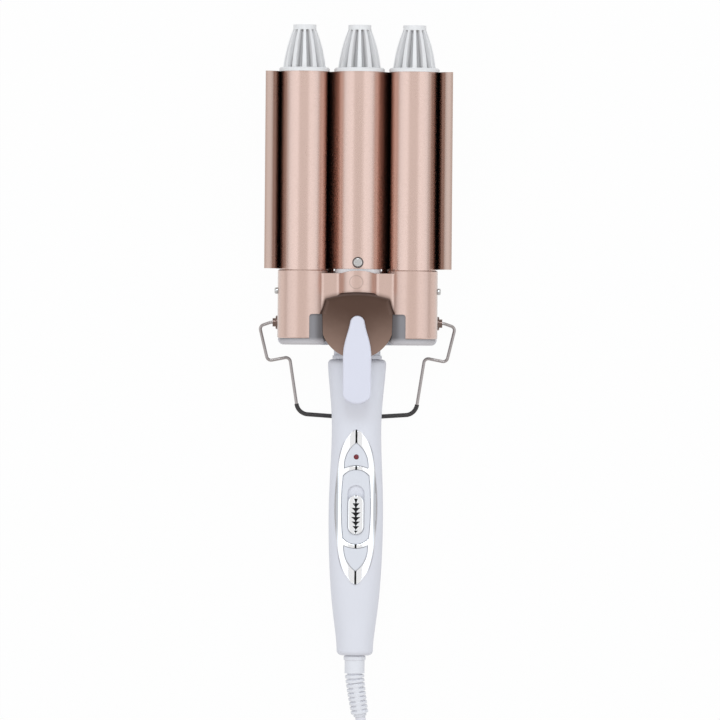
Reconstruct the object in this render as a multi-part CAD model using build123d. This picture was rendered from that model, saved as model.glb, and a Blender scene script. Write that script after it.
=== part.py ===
from build123d import *
import os
from math import acos, cos, degrees, pi, radians, sin, tan

# Three-barrel hair waver, lying on the back of its rear housing, in millimetres.
# +Z points out of its front, +Y to the barrel tips, +X to the right of someone who looks at its front.
# The origin is on the resting surface, below the middle of the waver without its cord.

# ---------------------------------------------------------------- driving dimensions
# Barrels
barrel_diameter = 25.0
barrel_wall = 1.0
barrel_pitch = 29.4
axis_z = 26.0
barrel_tip_y = 143.3
seam_y = 37.2

# Wave-shaped wings of the centre barrel
wing_gap = 0.8
wing_wall = 1.2
wing_rise = 1.0
flare_radius = 8.2
flare_width = 7.3
web_tab_side = 12.9
web_tab_clearance = 0.4
jaw_end_gap = 0.6

# Fluted caps
flange_radius = 13.5
flange_height = 2.1
flange_chamfer = 0.7
rib_count = 12
rib_foot_radius = 11.3
rib_waist_radius = 9.6
rib_waist_height = 11.7
rib_top_radius = 6.15
rib_top_height = 22.4
rib_foot_width = 2.4
rib_top_width = 1.3
cap_core_foot = 7.4
cap_core_top = 3.9
crown_height = 2.6
spigot_wall = 1.5
cap_spigot_length = 6.0

# Front jaw housing
sleeve_wall = 0.8
sleeve_clearance = 0.1
sleeve_foot_y = 0.6
sleeve_chamfer = 0.5
bridge_foot_y = 13.6
bridge_top_y = 35.4
bridge_top_z = 34.4
bridge_under_z = 30.2
bridge_fillet = 3.0
pocket_half_width = 15.3
bump_radius = 10.5
bump_rise = 5.0
bump_wall = 1.6
bump_floor_y = 28.5
bump_crest_y = 36.8
bump_crest_half_chord = 9.0
notch_half_width = 25.7
notch_corner = 1.6
tongue_radius = 19.6
tongue_centre_y = 9.5
tongue_thickness = 2.0
tongue_tilt = 3.0
bowl_centre_y = 3.1
bowl_floor_z = 32.2
bowl_top_y = 25.8
bowl_corner = (17.9, 22.9)
bowl_side = (20.6, 12.8)
bowl_cove = 4.0
badge_y = 30.65
badge_radius = 3.6
badge_line = 0.5
badge_height = 0.25

# Thumb lever
lever_tip_y = 12.8
lever_tip_radius = 3.9
lever_flank_angle = 9.0
lever_waist_half_width = 6.05
lever_waist_y = 1.0
lever_half_width = 7.6
lever_shoulder_y = -9.5
lever_end_y = -34.3
lever_end_round = 5.6
lever_tip_height = 2.2
lever_mid_height = 6.0
lever_end_height = 3.6
lever_end_under_z = 36.0
lever_lift_y = -7.5
lever_edge = 1.0
lever_screw_ys = (10.5, -6.5)
lever_screw_head = 2.0
lever_screw_head_height = 1.2
lever_screw_bite = 1.6

# Barrel sockets and side screws
socket_foot_y = -2.8
socket_shoulder_y = 21.8
socket_length_in_barrel = 11.2
socket_floor = 4.0
socket_round = 2.6
barrel_seat_gap = 0.2
side_screw_y = 26.0
side_screw_head_radius = 1.75
side_screw_head_height = 1.7
screw_shank_radius = 1.2
screw_clearance = 0.15
screw_grip_gap = 0.05
side_screw_depth = 4.3

# Heaters
heater_half_width = 6.0
heater_half_thickness = 2.0
lead_radius = 0.8
lead_board_x = 6.0
lead_stem_x = 1.2
lead_neck_x = 2.8
lead_waist_x = 1.6
lead_waist_z = 14.4
lead_bend = 4.0
lead_straight = 6.5
heater_gap = 1.3
heater_end_y = 126.0
spreader_clearance = 0.2
spreader_wall = 1.2
spreader_pad = 1.5
spreader_web = 1.6

# Hinge of the jaws
hinge_y = 4.0
hinge_z = 18.0
hinge_pin_radius = 1.5
hinge_clearance = 0.05
hinge_ear_radius = 3.5
fixed_ear_inner = 4.6
ear_thickness = 2.8
ear_gap = 0.4
clip_radius = 3.0
clip_thickness = 0.6
spring_wire = 0.55
spring_radius = 2.7
spring_pitch = 1.35
spring_whole_turns = 4
spring_leg_angle = 60.0
spring_upper_leg = 11.6
spring_lower_leg = 5.0

# Rear housing and jaw frame
housing_side_step = 0.2
housing_foot_y = -2.8
housing_top_y = 36.9
housing_height = 12.0
housing_wall = 2.0
housing_corner = 3.0
housing_edge = 2.2
plate_thickness = 2.3
plate_clearance = 0.2
post_radius = 3.4
post_inset = 8.6
post_low_y = 3.6
post_high_y = 30.0
housing_screw_head = 2.6
housing_screw_head_height = 1.6
housing_screw_sink = 0.4
stem_half_width = 8.0
stem_foot_y = 12.0
stem_top_z = 29.4
stem_boss_radius = 7.9
stem_boss_length = 10.5
lead_bore_radius = 5.0
lead_slot_half_width = 2.6
neck_bore_radius = 4.4
neck_bore_z = 17.0
ring_radius = 12.3
ring_thickness = 2.2
ring_gap = 0.1
ring_relief = 0.5
ring_spigot_length = 12.0
barrel_screw_rise = 3.4
barrel_screw_head = 2.4
barrel_screw_head_height = 1.3

# Neck and handle
handle_axis_z = 14.2
handle_top_y = -10.4
handle_end_y = -169.2
handle_wall = 2.0
handle_top_round = 2.4
handle_end_round = 2.6
shell_seam = 0.1
neck_half_width = 12.5
neck_half_depth = 9.8
neck_top_y = -2.8
collar_half_width = 13.2
collar_half_depth = 10.3
collar_top_y = -8.4
neck_spigot_half_width = 11.6
neck_spigot_half_depth = 8.3
neck_spigot_end_y = -32.0
neck_clearance = 0.1
handle_screw_ys = (-43.5, -132.0)
handle_screw_sink = 3.0
handle_screw_head = 2.8
handle_screw_head_height = 1.8
handle_screw_length = 13.0
handle_boss_radius = 4.6

# Control panel
panel_y = -89.5
bezel_half_length = 41.5
bezel_half_width = 11.45
bezel_rise = 0.6
bezel_depth = 0.9
panel_clearance = 0.06
recess_depth = 1.0
window_apex = 34.2
window_foot = 20.9
window_foot_arch = 22.3
window_half_width = 6.2
window_flank = (3.95, 30.0)
window_rise = 0.25
switch_plate_half_length = 19.8
switch_plate_corner = (6.8, 16.5)
switch_plate_half_width = 7.7
slot_centre = -1.6
slot_length = 26.6
slot_width = 9.0
button_length = 21.2
button_width = 8.5
button_rise = 1.5
button_edge = 0.5
button_floor_gap = 0.15
button_end_gap = 0.2
ridge_count = 8
ridge_pitch = 2.45
ridge_groove = 1.0
ridge_depth = 0.6
stem_slot_length = 16.0
stem_slot_width = 5.0
slider_length = 6.0
slider_width = 3.0
lens_y = -62.7
lens_radius = 1.35
lens_rise = 0.5
lamp_radius = 1.5
board_half_width = 8.0
board_ends = (-120.0, -53.0)
board_top_z = 16.2
board_thickness = 1.6
board_screw_ys = (-116.5, -56.5)
board_screw_head = 2.1
board_screw_head_height = 1.1
board_screw_length = 4.8
board_post_radius = 2.4
switch_half_width = 5.5
switch_length = 19.0
switch_height = 5.6
switch_slot_depth = 1.8

# Stand; its elbow, knees and corner are measured in X from the side of the rear housing
stand_y = 9.1
stand_z = 5.2
stand_foot_z = 1.45
wire_radius = 0.85
stand_sleeve_radius = 1.15
stand_sleeve_clearance = 0.02
stand_sleeve_start_y = -34.6
stand_end_inset = 2.3
stand_shoulder_reach = 4.0
stand_elbow = (10.0, 7.0)
stand_knee = (5.5, -11.7)
stand_inner_knee = (-6.3, -9.4)
stand_corner = (-11.0, -39.9)
stand_foot_y = -42.0
stand_bend = 2.4
stand_shoulder_bend = 3.0
stand_corner_bend = 6.4
stand_foot_bend = 60.0
bush_bore_clearance = 0.06
bush_flange_radius = 3.7
bush_flange_thickness = 1.3
bush_hub_radius = 2.3
bush_hub_length = 1.6
bush_gap = 0.1

# Cord exit, cord, coil and plug
swivel_collar_radius = 5.9
swivel_collar_length = 2.4
swivel_gap = 0.3
swivel_radius = 5.35
swivel_end_y = -178.9
swivel_shaft_radius = 4.5
swivel_shaft_clearance = 0.06
swivel_flange_radius = 6.1
swivel_flange_thickness = 1.8
swivel_hub_radius = 2.5
swivel_hub_length = 7.0
contact_ring_radius = 3.1
contact_ring_width = 1.8
contact_ring_offsets = (1.6, 4.6)
contact_block_size = (9.0, 5.6, 1.7)
cord_diameter = 5.5
boot_start_radius = 4.6
boot_end_radius = 3.9
boot_ring_radius = 5.2
boot_ring_end_radius = 4.6
boot_ring_count = 9
boot_ring_width = 1.5
boot_route = [(0.0, -178.9, 14.2), (0.0, -183.0, 14.2), (3.2, -201.8, 11.9)]
cord_route = [(3.2, -201.8, 11.9), (4.9, -213.0, 9.9), (2.9, -225.8, 5.6), (-1.8, -238.2, 3.9)]
coil_centre = (34.0, -249.5)
coil_mean_radius = 32.0
coil_rows = 3
coil_turns = 8.382
tie_thickness = 0.9
tie_angles = (30.0, 210.0)
tie_span = 11.0
tail_route = [(52.5, -281.5, 14.2), (61.3, -276.5, 13.0), (70.4, -271.6, 8.9), (79.0, -267.0, 7.0)]
plug_yaw = 28.2
plug_length = 34.0
plug_half_width = 13.0
plug_half_height = 6.9
plug_neck_radius = 4.4
plug_edge = 1.5
plug_pin_radius = 2.0
plug_pin_length = 19.0
plug_pin_spacing = 18.6

# ---------------------------------------------------------------- derived places
barrel_radius = barrel_diameter / 2
barrel_bore = barrel_radius - barrel_wall
sleeve_bore = barrel_radius + sleeve_clearance
sleeve_radius = sleeve_bore + sleeve_wall
housing_half_width = barrel_pitch + sleeve_radius - housing_side_step
post_x = housing_half_width - post_inset
span = 2 * housing_half_width
jaw_root_y = seam_y + jaw_end_gap
wing_bore = barrel_radius + wing_gap
wing_radius = wing_bore + wing_wall
web_angle = degrees(acos((barrel_radius + wing_bore) / barrel_pitch))
barrel_root_y = socket_shoulder_y + barrel_seat_gap
spigot_radius = barrel_bore - 0.1
ring_top_y = jaw_root_y - ring_gap
ring_foot_y = ring_top_y - ring_thickness
heater_start_y = ring_top_y + ring_spigot_length + heater_gap
bump_z = axis_z + bump_rise
plate_top_z = housing_height - 0.1
plate_under_z = plate_top_z - plate_thickness
screw_hole = screw_shank_radius + screw_clearance
screw_grip = screw_shank_radius + screw_grip_gap
moving_ear_inner = fixed_ear_inner + ear_thickness + ear_gap
moving_ear_outer = moving_ear_inner + ear_thickness
clip_x = moving_ear_outer + ear_gap
panel_half_depth = 10.5
panel_z = handle_axis_z + panel_half_depth
side_signs = (-1, 1)
cord_radius = cord_diameter / 2

# Stations of the handle: distance along Y, half width and half depth of its oval section.
handle_stations = [
    (handle_top_y, 15.6, 10.8),
    (-21.5, 15.0, 10.8),
    (-40.0, 13.45, 10.6),
    (-62.0, 13.55, panel_half_depth),
    (-84.0, 14.45, panel_half_depth),
    (-108.0, 14.45, panel_half_depth),
    (-128.0, 13.6, 10.2),
    (-148.0, 11.7, 9.6),
    (handle_end_y, 9.8, 8.8),
]


# ---------------------------------------------------------------- shape helpers
def cylinder_x(radius, x_low, x_high, y, z):
    return Pos((x_low + x_high) / 2, y, z) * Rot(0, 90, 0) * Cylinder(radius, x_high - x_low)


def cylinder_y(radius, y_low, y_high, x=0.0, z=axis_z):
    return Pos(x, (y_low + y_high) / 2, z) * Rot(90, 0, 0) * Cylinder(radius, y_high - y_low)


def cylinder_z(radius, z_low, z_high, x, y):
    return Pos(x, y, (z_low + z_high) / 2) * Cylinder(radius, z_high - z_low)


def block(x_low, x_high, y_low, y_high, z_low, z_high):
    centre = Pos((x_low + x_high) / 2, (y_low + y_high) / 2, (z_low + z_high) / 2)
    return centre * Box(x_high - x_low, y_high - y_low, z_high - z_low)


def section_plane(y):
    """Plane across the waver at y; its local axes are +X and +Z."""
    return Plane(origin=(0, y, 0), x_dir=(1, 0, 0), z_dir=(0, -1, 0))


def extrude_y(sketch, y_low, y_high):
    return extrude(section_plane(y_high) * sketch, amount=y_high - y_low)


def disc(radius, x, z):
    return Pos(x, z) * Circle(radius)


def panel(x_low, x_high, z_low, z_high):
    """Rectangle in the XZ section."""
    return Pos((x_low + x_high) / 2, (z_low + z_high) / 2) * Rectangle(x_high - x_low, z_high - z_low)


def oval_y(half_width, half_depth, y_low, y_high, z=handle_axis_z):
    return extrude_y(Pos(0, z) * Ellipse(half_width, half_depth), y_low, y_high)


def both_sides(shape):
    return shape + mirror(shape, Plane.YZ)


def pan_screw(head_radius, head_height, shank_length):
    """Screw that points up: its head is below z = 0 and its shank above."""
    head = cylinder_z(head_radius, -head_height, 0, 0, 0)
    head = fillet(head.edges().sort_by(Axis.Z)[0], head_height * 0.45)
    slot_half = head_radius * 0.55
    slot = block(-slot_half, slot_half, -0.3, 0.3, -head_height, -head_height * 0.6)
    slot += block(-0.3, 0.3, -slot_half, slot_half, -head_height, -head_height * 0.6)
    return head - slot + cylinder_z(screw_shank_radius, 0, shank_length, 0, 0)


def arc_radii(route):
    """Radius of the arc at each inner point of a cord's route."""
    points = [Vector(*p) for p in route]
    radii = []
    for before, here, after in zip(points, points[1:], points[2:]):
        turn = radians((here - before).get_angle(after - here))
        shorter = min((here - before).length, (after - here).length)
        radii.append(0.45 * shorter / tan(turn / 2))
    return radii


def tube_along(route, radius, name):
    """Round tube along straight runs joined by tangent arcs."""
    radii = arc_radii(route)
    path = FilletPolyline(*route, radius=radii)
    tube = sweep(Plane(path @ 0, z_dir=path % 0) * Circle(radius), path=path)
    share = tube.volume / (pi * radius**2 * path.length)
    arcs = [round(r, 1) for r in radii]
    print(f"{name}: arc radii {arcs}, length {path.length:.1f}, volume share {share:.4f}")
    return tube, path.length


# ---------------------------------------------------------------- barrels
def outer_barrel(side):
    x = side * barrel_pitch
    tube = cylinder_y(barrel_radius, barrel_root_y, barrel_tip_y, x)
    tube -= cylinder_y(barrel_bore, barrel_root_y - 1, barrel_tip_y + 1, x)
    reach = sorted((x, side * (barrel_pitch + barrel_radius + 1)))
    return tube - cylinder_x(screw_hole, *reach, side_screw_y, axis_z)


def wave_web():
    """Web in the XZ section: a plate tangent to the centre barrel and to the bore of the right wing."""
    facing = Vector(cos(radians(web_angle)), sin(radians(web_angle)))
    high = Vector(0, axis_z) + facing * barrel_radius
    low = Vector(barrel_pitch, axis_z) - facing * wing_bore
    back = facing * wing_wall
    return make_face(Polyline(high, low, low - back, high - back, close=True))


def wing_section():
    """Right wing in the XZ section: it wraps the back of the right barrel and flares out beside it."""
    band = disc(wing_radius, barrel_pitch, axis_z) - disc(wing_bore, barrel_pitch, axis_z)
    far = 2 * wing_radius
    facing = (far * cos(radians(web_angle)), far * sin(radians(web_angle)))
    inner_keep = Pos(barrel_pitch, axis_z) * make_face(
        Polyline((0, 0), (-facing[0], -facing[1]), (0, -far), close=True)
    )
    outer_keep = panel(barrel_pitch, barrel_pitch + far, axis_z - far, axis_z)
    band = band & (inner_keep + outer_keep)
    wall_x = barrel_pitch + wing_bore
    flare_x = wall_x + flare_radius
    flare_z = axis_z + wing_rise
    wall = panel(wall_x, wall_x + wing_wall, axis_z, flare_z)
    flare = disc(flare_radius, flare_x, flare_z) - disc(flare_radius - wing_wall, flare_x, flare_z)
    flare = flare & panel(wall_x, wall_x + flare_width, flare_z, flare_z + flare_radius)
    return wave_web() + band + wall + flare


def web_tab():
    """Right web where it runs on below the barrels, clear of the insulating ring and the sleeve."""
    tab = wave_web() & panel(web_tab_side, barrel_pitch, axis_z - wing_radius, axis_z + wing_radius)
    tab -= disc(ring_radius + web_tab_clearance, 0, axis_z)
    return tab - disc(sleeve_radius + web_tab_clearance, barrel_pitch, axis_z)


def centre_barrel():
    section = disc(barrel_radius, 0, axis_z) + both_sides(wing_section())
    section -= disc(barrel_bore, 0, axis_z)
    jaw = extrude_y(section, jaw_root_y, barrel_tip_y)
    jaw += extrude_y(both_sides(web_tab()), bridge_top_y + web_tab_clearance, jaw_root_y)
    screw_y = jaw_root_y + barrel_screw_rise
    return jaw - cylinder_z(screw_hole, axis_z, axis_z + barrel_radius + 1, 0, screw_y)


def barrel_screw():
    screw = pan_screw(barrel_screw_head, barrel_screw_head_height, 3.2)
    return Pos(0, jaw_root_y + barrel_screw_rise, axis_z + barrel_radius) * Rot(180, 0, 0) * screw


def cap(x):
    """Fluted cap: twelve ribs round a cone, on a flange that covers the barrel's end."""
    foot = flange_height
    flange = Cylinder(flange_radius, flange_height, align=(Align.CENTER, Align.CENTER, Align.MIN))
    flange = chamfer(flange.edges().sort_by(Axis.Z)[-1], flange_chamfer)
    envelope = make_face([
        Line((0, foot), (rib_foot_radius, foot)),
        ThreePointArc(
            (rib_foot_radius, foot), (rib_waist_radius, rib_waist_height), (rib_top_radius, rib_top_height)
        ),
        Line((rib_top_radius, rib_top_height), (0, rib_top_height)),
        Line((0, rib_top_height), (0, foot)),
    ])
    envelope = revolve(Plane.XZ * envelope, Axis.Z)
    taper = Polyline(
        (-rib_foot_width / 2, foot),
        (rib_foot_width / 2, foot),
        (rib_top_width / 2, rib_top_height),
        (-rib_top_width / 2, rib_top_height),
        close=True,
    )
    rib = extrude(Plane.XZ * make_face(taper), amount=flange_radius)
    ribs = Part() + [Rot(0, 0, 360 * i / rib_count) * rib for i in range(rib_count)]
    core = Pos(0, 0, foot) * Cone(
        cap_core_foot, cap_core_top, rib_top_height - foot, align=(Align.CENTER, Align.CENTER, Align.MIN)
    )
    crown = cylinder_z(rib_top_radius, rib_top_height, rib_top_height + crown_height, 0, 0)
    spigot = cylinder_z(spigot_radius, -cap_spigot_length, 0, 0, 0)
    spigot -= cylinder_z(spigot_radius - spigot_wall, -cap_spigot_length - 1, 0, 0, 0)
    upright = flange + (envelope & ribs) + core + crown + spigot
    return Pos(x, barrel_tip_y, axis_z) * Rot(-90, 0, 0) * upright


def heater(x):
    return block(
        x - heater_half_width, x + heater_half_width, heater_start_y, heater_end_y,
        axis_z - heater_half_thickness, axis_z + heater_half_thickness,
    )


def spreader(x):
    """Two half-round profiles that press the heater strip from both sides and touch the barrel."""
    rim_radius = barrel_bore - spreader_clearance
    pad_foot = heater_half_thickness + 0.05
    rim = Circle(rim_radius) - Circle(rim_radius - spreader_wall)
    rim = rim & panel(-barrel_radius, barrel_radius, pad_foot + spreader_pad, barrel_radius)
    pad = panel(-heater_half_width, heater_half_width, pad_foot, pad_foot + spreader_pad)
    web = panel(-spreader_web / 2, spreader_web / 2, pad_foot, rim_radius - spreader_wall / 2)
    upper = rim + pad + web
    section = Pos(x, axis_z) * (upper + mirror(upper, Plane.XZ))
    return extrude_y(section, heater_start_y, heater_end_y)


# ---------------------------------------------------------------- front jaw
def bridge_outline():
    sleeves = both_sides(disc(sleeve_radius, barrel_pitch, axis_z))
    bar = panel(-barrel_pitch, barrel_pitch, axis_z - sleeve_radius, bridge_top_z)
    outline = sleeves + disc(bump_radius, 0, bump_z) + bar
    return offset(offset(outline, bridge_fillet), -bridge_fillet)


def bridge_block():
    """Middle of the front jaw: a bump between two dips, hollow behind."""
    bridge = extrude_y(bridge_outline(), bridge_foot_y, bridge_top_y)
    crest_radius = (bump_crest_half_chord**2 + (bump_crest_y - bridge_top_y) ** 2) / (
        2 * (bump_crest_y - bridge_top_y)
    )
    crest = extrude_y(disc(bump_radius, 0, bump_z), bridge_top_y, bump_crest_y)
    crest = crest & cylinder_z(crest_radius, 0, 2 * axis_z, 0, bump_crest_y - crest_radius)
    crest_foot_z = bump_z - bump_wall
    bridge += crest & block(-bump_radius, bump_radius, bridge_top_y, bump_crest_y, crest_foot_z, 2 * axis_z)
    sleeves = both_sides(disc(sleeve_radius, barrel_pitch, axis_z))
    pocket = panel(-pocket_half_width, pocket_half_width, 0, bridge_under_z) - sleeves
    bridge -= extrude_y(pocket, bridge_foot_y - 1, bump_crest_y + 1)
    hollow = disc(bump_radius - bump_wall, 0, bump_z)
    bridge -= extrude_y(hollow, bump_floor_y, bump_crest_y + 1)
    under_bar = panel(-2 * barrel_pitch, 2 * barrel_pitch, 0, axis_z - sleeve_radius + 1.5)
    bridge -= extrude_y(under_bar, 0, seam_y)
    return bridge


def sleeve_pair():
    sleeve = cylinder_y(sleeve_radius, sleeve_foot_y, seam_y, barrel_pitch)
    sleeve = chamfer(sleeve.edges().filter_by(GeomType.CIRCLE), sleeve_chamfer)
    notch = block(-notch_half_width, notch_half_width, sleeve_foot_y - 10, bridge_foot_y, 0, 2 * axis_z)
    notch = fillet(notch.edges().filter_by(Axis.Z), notch_corner)
    return both_sides(sleeve) - notch


def bowl_lean():
    """Place of the bowl's floor, which leans towards the handle."""
    return Pos(0, bowl_centre_y, bowl_floor_z) * Rot(tongue_tilt, 0, 0)


def tongue():
    """Round tongue under the bump, which carries the lever."""
    slab = bowl_lean() * Pos(0, 0, -tongue_thickness / 2) * Box(span, span, tongue_thickness)
    return slab & cylinder_z(tongue_radius, 0, 2 * axis_z, 0, tongue_centre_y)


def bowl_plan():
    """Outline of the cut in the bridge: a shallow arc under the bump between two leaning sides."""
    (corner_x, corner_y), (side_x, side_y) = bowl_corner, bowl_side
    return Pos(0, -bowl_centre_y) * make_face([
        ThreePointArc((-corner_x, corner_y), (0, bowl_top_y), (corner_x, corner_y)),
        Line((corner_x, corner_y), (side_x, side_y)),
        Line((side_x, side_y), (-side_x, side_y)),
        Line((-side_x, side_y), (-corner_x, corner_y)),
    ])


def bowl():
    """Space above the tongue: a flat floor with a round cove up to the bridge and the sleeves."""
    cut = extrude(bowl_plan(), amount=axis_z)
    floor_edges = cut.faces().sort_by(Axis.Z)[0].edges().sort_by(Axis.Y)[1:]
    return bowl_lean() * fillet(floor_edges, bowl_cove)


def moving_ears():
    post_top = bowl_floor_z - tongue_thickness
    ear_low_y = hinge_y - hinge_ear_radius
    ear_high_y = hinge_y + hinge_ear_radius
    ear = block(moving_ear_inner, moving_ear_outer, ear_low_y, ear_high_y, hinge_z, post_top)
    ear += cylinder_x(hinge_ear_radius, moving_ear_inner, moving_ear_outer, hinge_y, hinge_z)
    return both_sides(ear)


def badge():
    ring = cylinder_z(badge_radius, axis_z, 2 * axis_z, 0, badge_y)
    ring -= cylinder_z(badge_radius - badge_line, axis_z, 2 * axis_z, 0, badge_y)
    shell = cylinder_y(bump_radius + badge_height, bridge_foot_y, bridge_top_y, 0, bump_z)
    shell -= cylinder_y(bump_radius - badge_height, bridge_foot_y, bridge_top_y, 0, bump_z)
    return ring & shell


def clamp_housing():
    housing = sleeve_pair() + bridge_block() + tongue()
    housing -= bowl()
    housing += moving_ears()
    housing += badge()
    bores = cylinder_y(sleeve_bore, sleeve_foot_y - 1, seam_y + 1, barrel_pitch)
    housing -= both_sides(bores)
    relief = cylinder_y(ring_radius + ring_relief, ring_foot_y - ring_relief, seam_y + 1)
    housing -= relief
    reach = hinge_pin_radius + hinge_clearance
    housing -= cylinder_x(reach, -2 * barrel_pitch, 2 * barrel_pitch, hinge_y, hinge_z)
    screw_holes = cylinder_x(screw_hole, barrel_pitch, barrel_pitch + 2 * sleeve_radius, side_screw_y, axis_z)
    housing -= both_sides(screw_holes)
    for y in lever_screw_ys:
        housing -= lever_screw_place(y) * cylinder_z(screw_hole, -tongue_thickness - 1, 1, 0, 0)
    return housing


def lever_screw_place(y):
    """Place on the leaning floor of the bowl, at the middle of the lever."""
    return bowl_lean() * Pos(0, y - bowl_centre_y, 0)


def lever_screws():
    screw = pan_screw(lever_screw_head, lever_screw_head_height, tongue_thickness + lever_screw_bite)
    screws = Part()
    for y in lever_screw_ys:
        screws += lever_screw_place(y) * Pos(0, 0, -tongue_thickness) * screw
    return screws


def floor_z(y):
    """Height of the bowl's leaning floor at y."""
    return bowl_floor_z + (y - bowl_centre_y) * tan(radians(tongue_tilt))


def lever_plan():
    """Outline of the lever seen from the front: a narrow tip that widens to a rounded end."""
    lean = radians(lever_flank_angle)
    touch = (lever_tip_radius * cos(lean), lever_tip_y - lever_tip_radius * (1 - sin(lean)))
    end_y = lever_end_y + lever_end_round
    tip = ThreePointArc((-touch[0], touch[1]), (0, lever_tip_y), touch)
    flank = Spline(
        touch, (lever_waist_half_width, lever_waist_y), (lever_half_width, lever_shoulder_y),
        tangents=[(sin(lean), -cos(lean)), (0, -1)],
    )
    side = Line((lever_half_width, lever_shoulder_y), (lever_half_width, end_y))
    end = EllipticalCenterArc((0, end_y), lever_half_width, lever_end_round, start_angle=180, arc_size=180)
    return make_face([tip, flank, side, mirror(flank, Plane.YZ), mirror(side, Plane.YZ), end])


def lever_profile():
    """Outline of the lever seen from the side: flat on the tongue, then rising clear of the handle."""
    tip_y = lever_tip_y + 1
    end_y = lever_end_y - 1
    lift = (lever_lift_y, floor_z(lever_lift_y))
    end_low = (end_y, lever_end_under_z)
    end_high = (end_y, lever_end_under_z + lever_end_height)
    crest = (lever_shoulder_y, floor_z(lever_shoulder_y) + lever_mid_height)
    tip_high = (tip_y, floor_z(lever_tip_y) + lever_tip_height)
    return make_face([
        Line((tip_y, floor_z(tip_y)), lift),
        Spline(lift, end_low, tangents=[(-1, 0.02), (-1, 0.2)]),
        Line(end_low, end_high),
        Spline(end_high, crest, tip_high),
        Line(tip_high, (tip_y, floor_z(tip_y))),
    ])


def thumb_lever():
    """Tapered thumb lever that stands on the tongue of the front jaw."""
    blank = extrude(lever_plan(), amount=2 * axis_z)
    across = Plane(origin=(-2 * lever_half_width, 0, 0), x_dir=(0, 1, 0), z_dir=(1, 0, 0))
    lever = blank & extrude(across * lever_profile(), amount=4 * lever_half_width)
    top = max((face for face in lever.faces() if face.normal_at().Z > 0.5), key=lambda face: face.area)
    lever = fillet(top.edges(), lever_edge)
    for y in lever_screw_ys:
        lever -= lever_screw_place(y) * cylinder_z(screw_grip, -1, lever_screw_bite + 0.2, 0, 0)
    return lever


def barrel_socket(side):
    """Plastic plug that closes the sleeve's foot and carries the barrel on a spigot."""
    x = side * barrel_pitch
    outer = sleeve_bore - sleeve_clearance
    plug = cylinder_y(outer - 0.1, socket_foot_y, socket_shoulder_y, x)
    plug = fillet(plug.edges().filter_by(GeomType.CIRCLE).sort_by(Axis.Y)[0], socket_round)
    spigot_top = barrel_root_y + socket_length_in_barrel
    plug += cylinder_y(spigot_radius, socket_shoulder_y, spigot_top, x)
    plug -= cylinder_y(spigot_radius - 2 * spigot_wall, socket_foot_y + socket_floor, spigot_top + 1, x)
    reach = sorted((x, side * (barrel_pitch + barrel_radius)))
    return plug - cylinder_x(screw_grip, *reach, side_screw_y, axis_z)


def side_screws():
    screw = pan_screw(side_screw_head_radius, side_screw_head_height, side_screw_depth)
    seat_x = barrel_pitch + sleeve_radius
    return both_sides(Pos(seat_x, side_screw_y, axis_z) * Rot(0, -90, 0) * screw)


# ---------------------------------------------------------------- rear housing and frame
def post_places():
    return [(s * post_x, y) for s in side_signs for y in (post_low_y, post_high_y)]


def rear_housing():
    """Tray behind the jaws; its flat back is what the waver lies on."""
    tray = block(-housing_half_width, housing_half_width, housing_foot_y, housing_top_y, 0, housing_height)
    tray = fillet(tray.edges().filter_by(Axis.Z), housing_corner)
    tray = fillet(tray.faces().sort_by(Axis.Z)[0].edges(), housing_edge)
    cavity = block(
        -housing_half_width + housing_wall, housing_half_width - housing_wall,
        housing_foot_y + housing_wall, housing_top_y - housing_wall,
        housing_wall, housing_height + 1,
    )
    tray -= fillet(cavity.edges().filter_by(Axis.Z), housing_corner - housing_wall / 2)
    for x, y in post_places():
        tray += cylinder_z(post_radius, housing_wall / 2, plate_under_z, x, y)
        tray -= cylinder_z(housing_screw_head + screw_clearance, -1, screw_seat_z(), x, y)
        tray -= cylinder_z(screw_hole, 0, plate_under_z + 1, x, y)
    tray -= oval_y(
        neck_half_width + neck_clearance, neck_half_depth + neck_clearance,
        housing_foot_y - 1, housing_foot_y + housing_wall + 1,
    )
    bush_hole = cylinder_x(
        bush_hub_radius - 0.2, housing_half_width - 2 * housing_wall, housing_half_width + 1, stand_y, stand_z
    )
    return tray - both_sides(bush_hole)


def screw_seat_z():
    return housing_screw_sink + housing_screw_head_height


def housing_screws():
    length = plate_top_z - screw_seat_z() - 0.6
    screw = pan_screw(housing_screw_head, housing_screw_head_height, length)
    return Part() + [Pos(x, y, screw_seat_z()) * screw for x, y in post_places()]


def fixed_ears():
    outer = fixed_ear_inner + ear_thickness
    ear = block(
        fixed_ear_inner, outer, hinge_y - hinge_ear_radius, hinge_y + hinge_ear_radius, plate_under_z, hinge_z
    )
    ear += cylinder_x(hinge_ear_radius, fixed_ear_inner, outer, hinge_y, hinge_z)
    return both_sides(ear)


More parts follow.
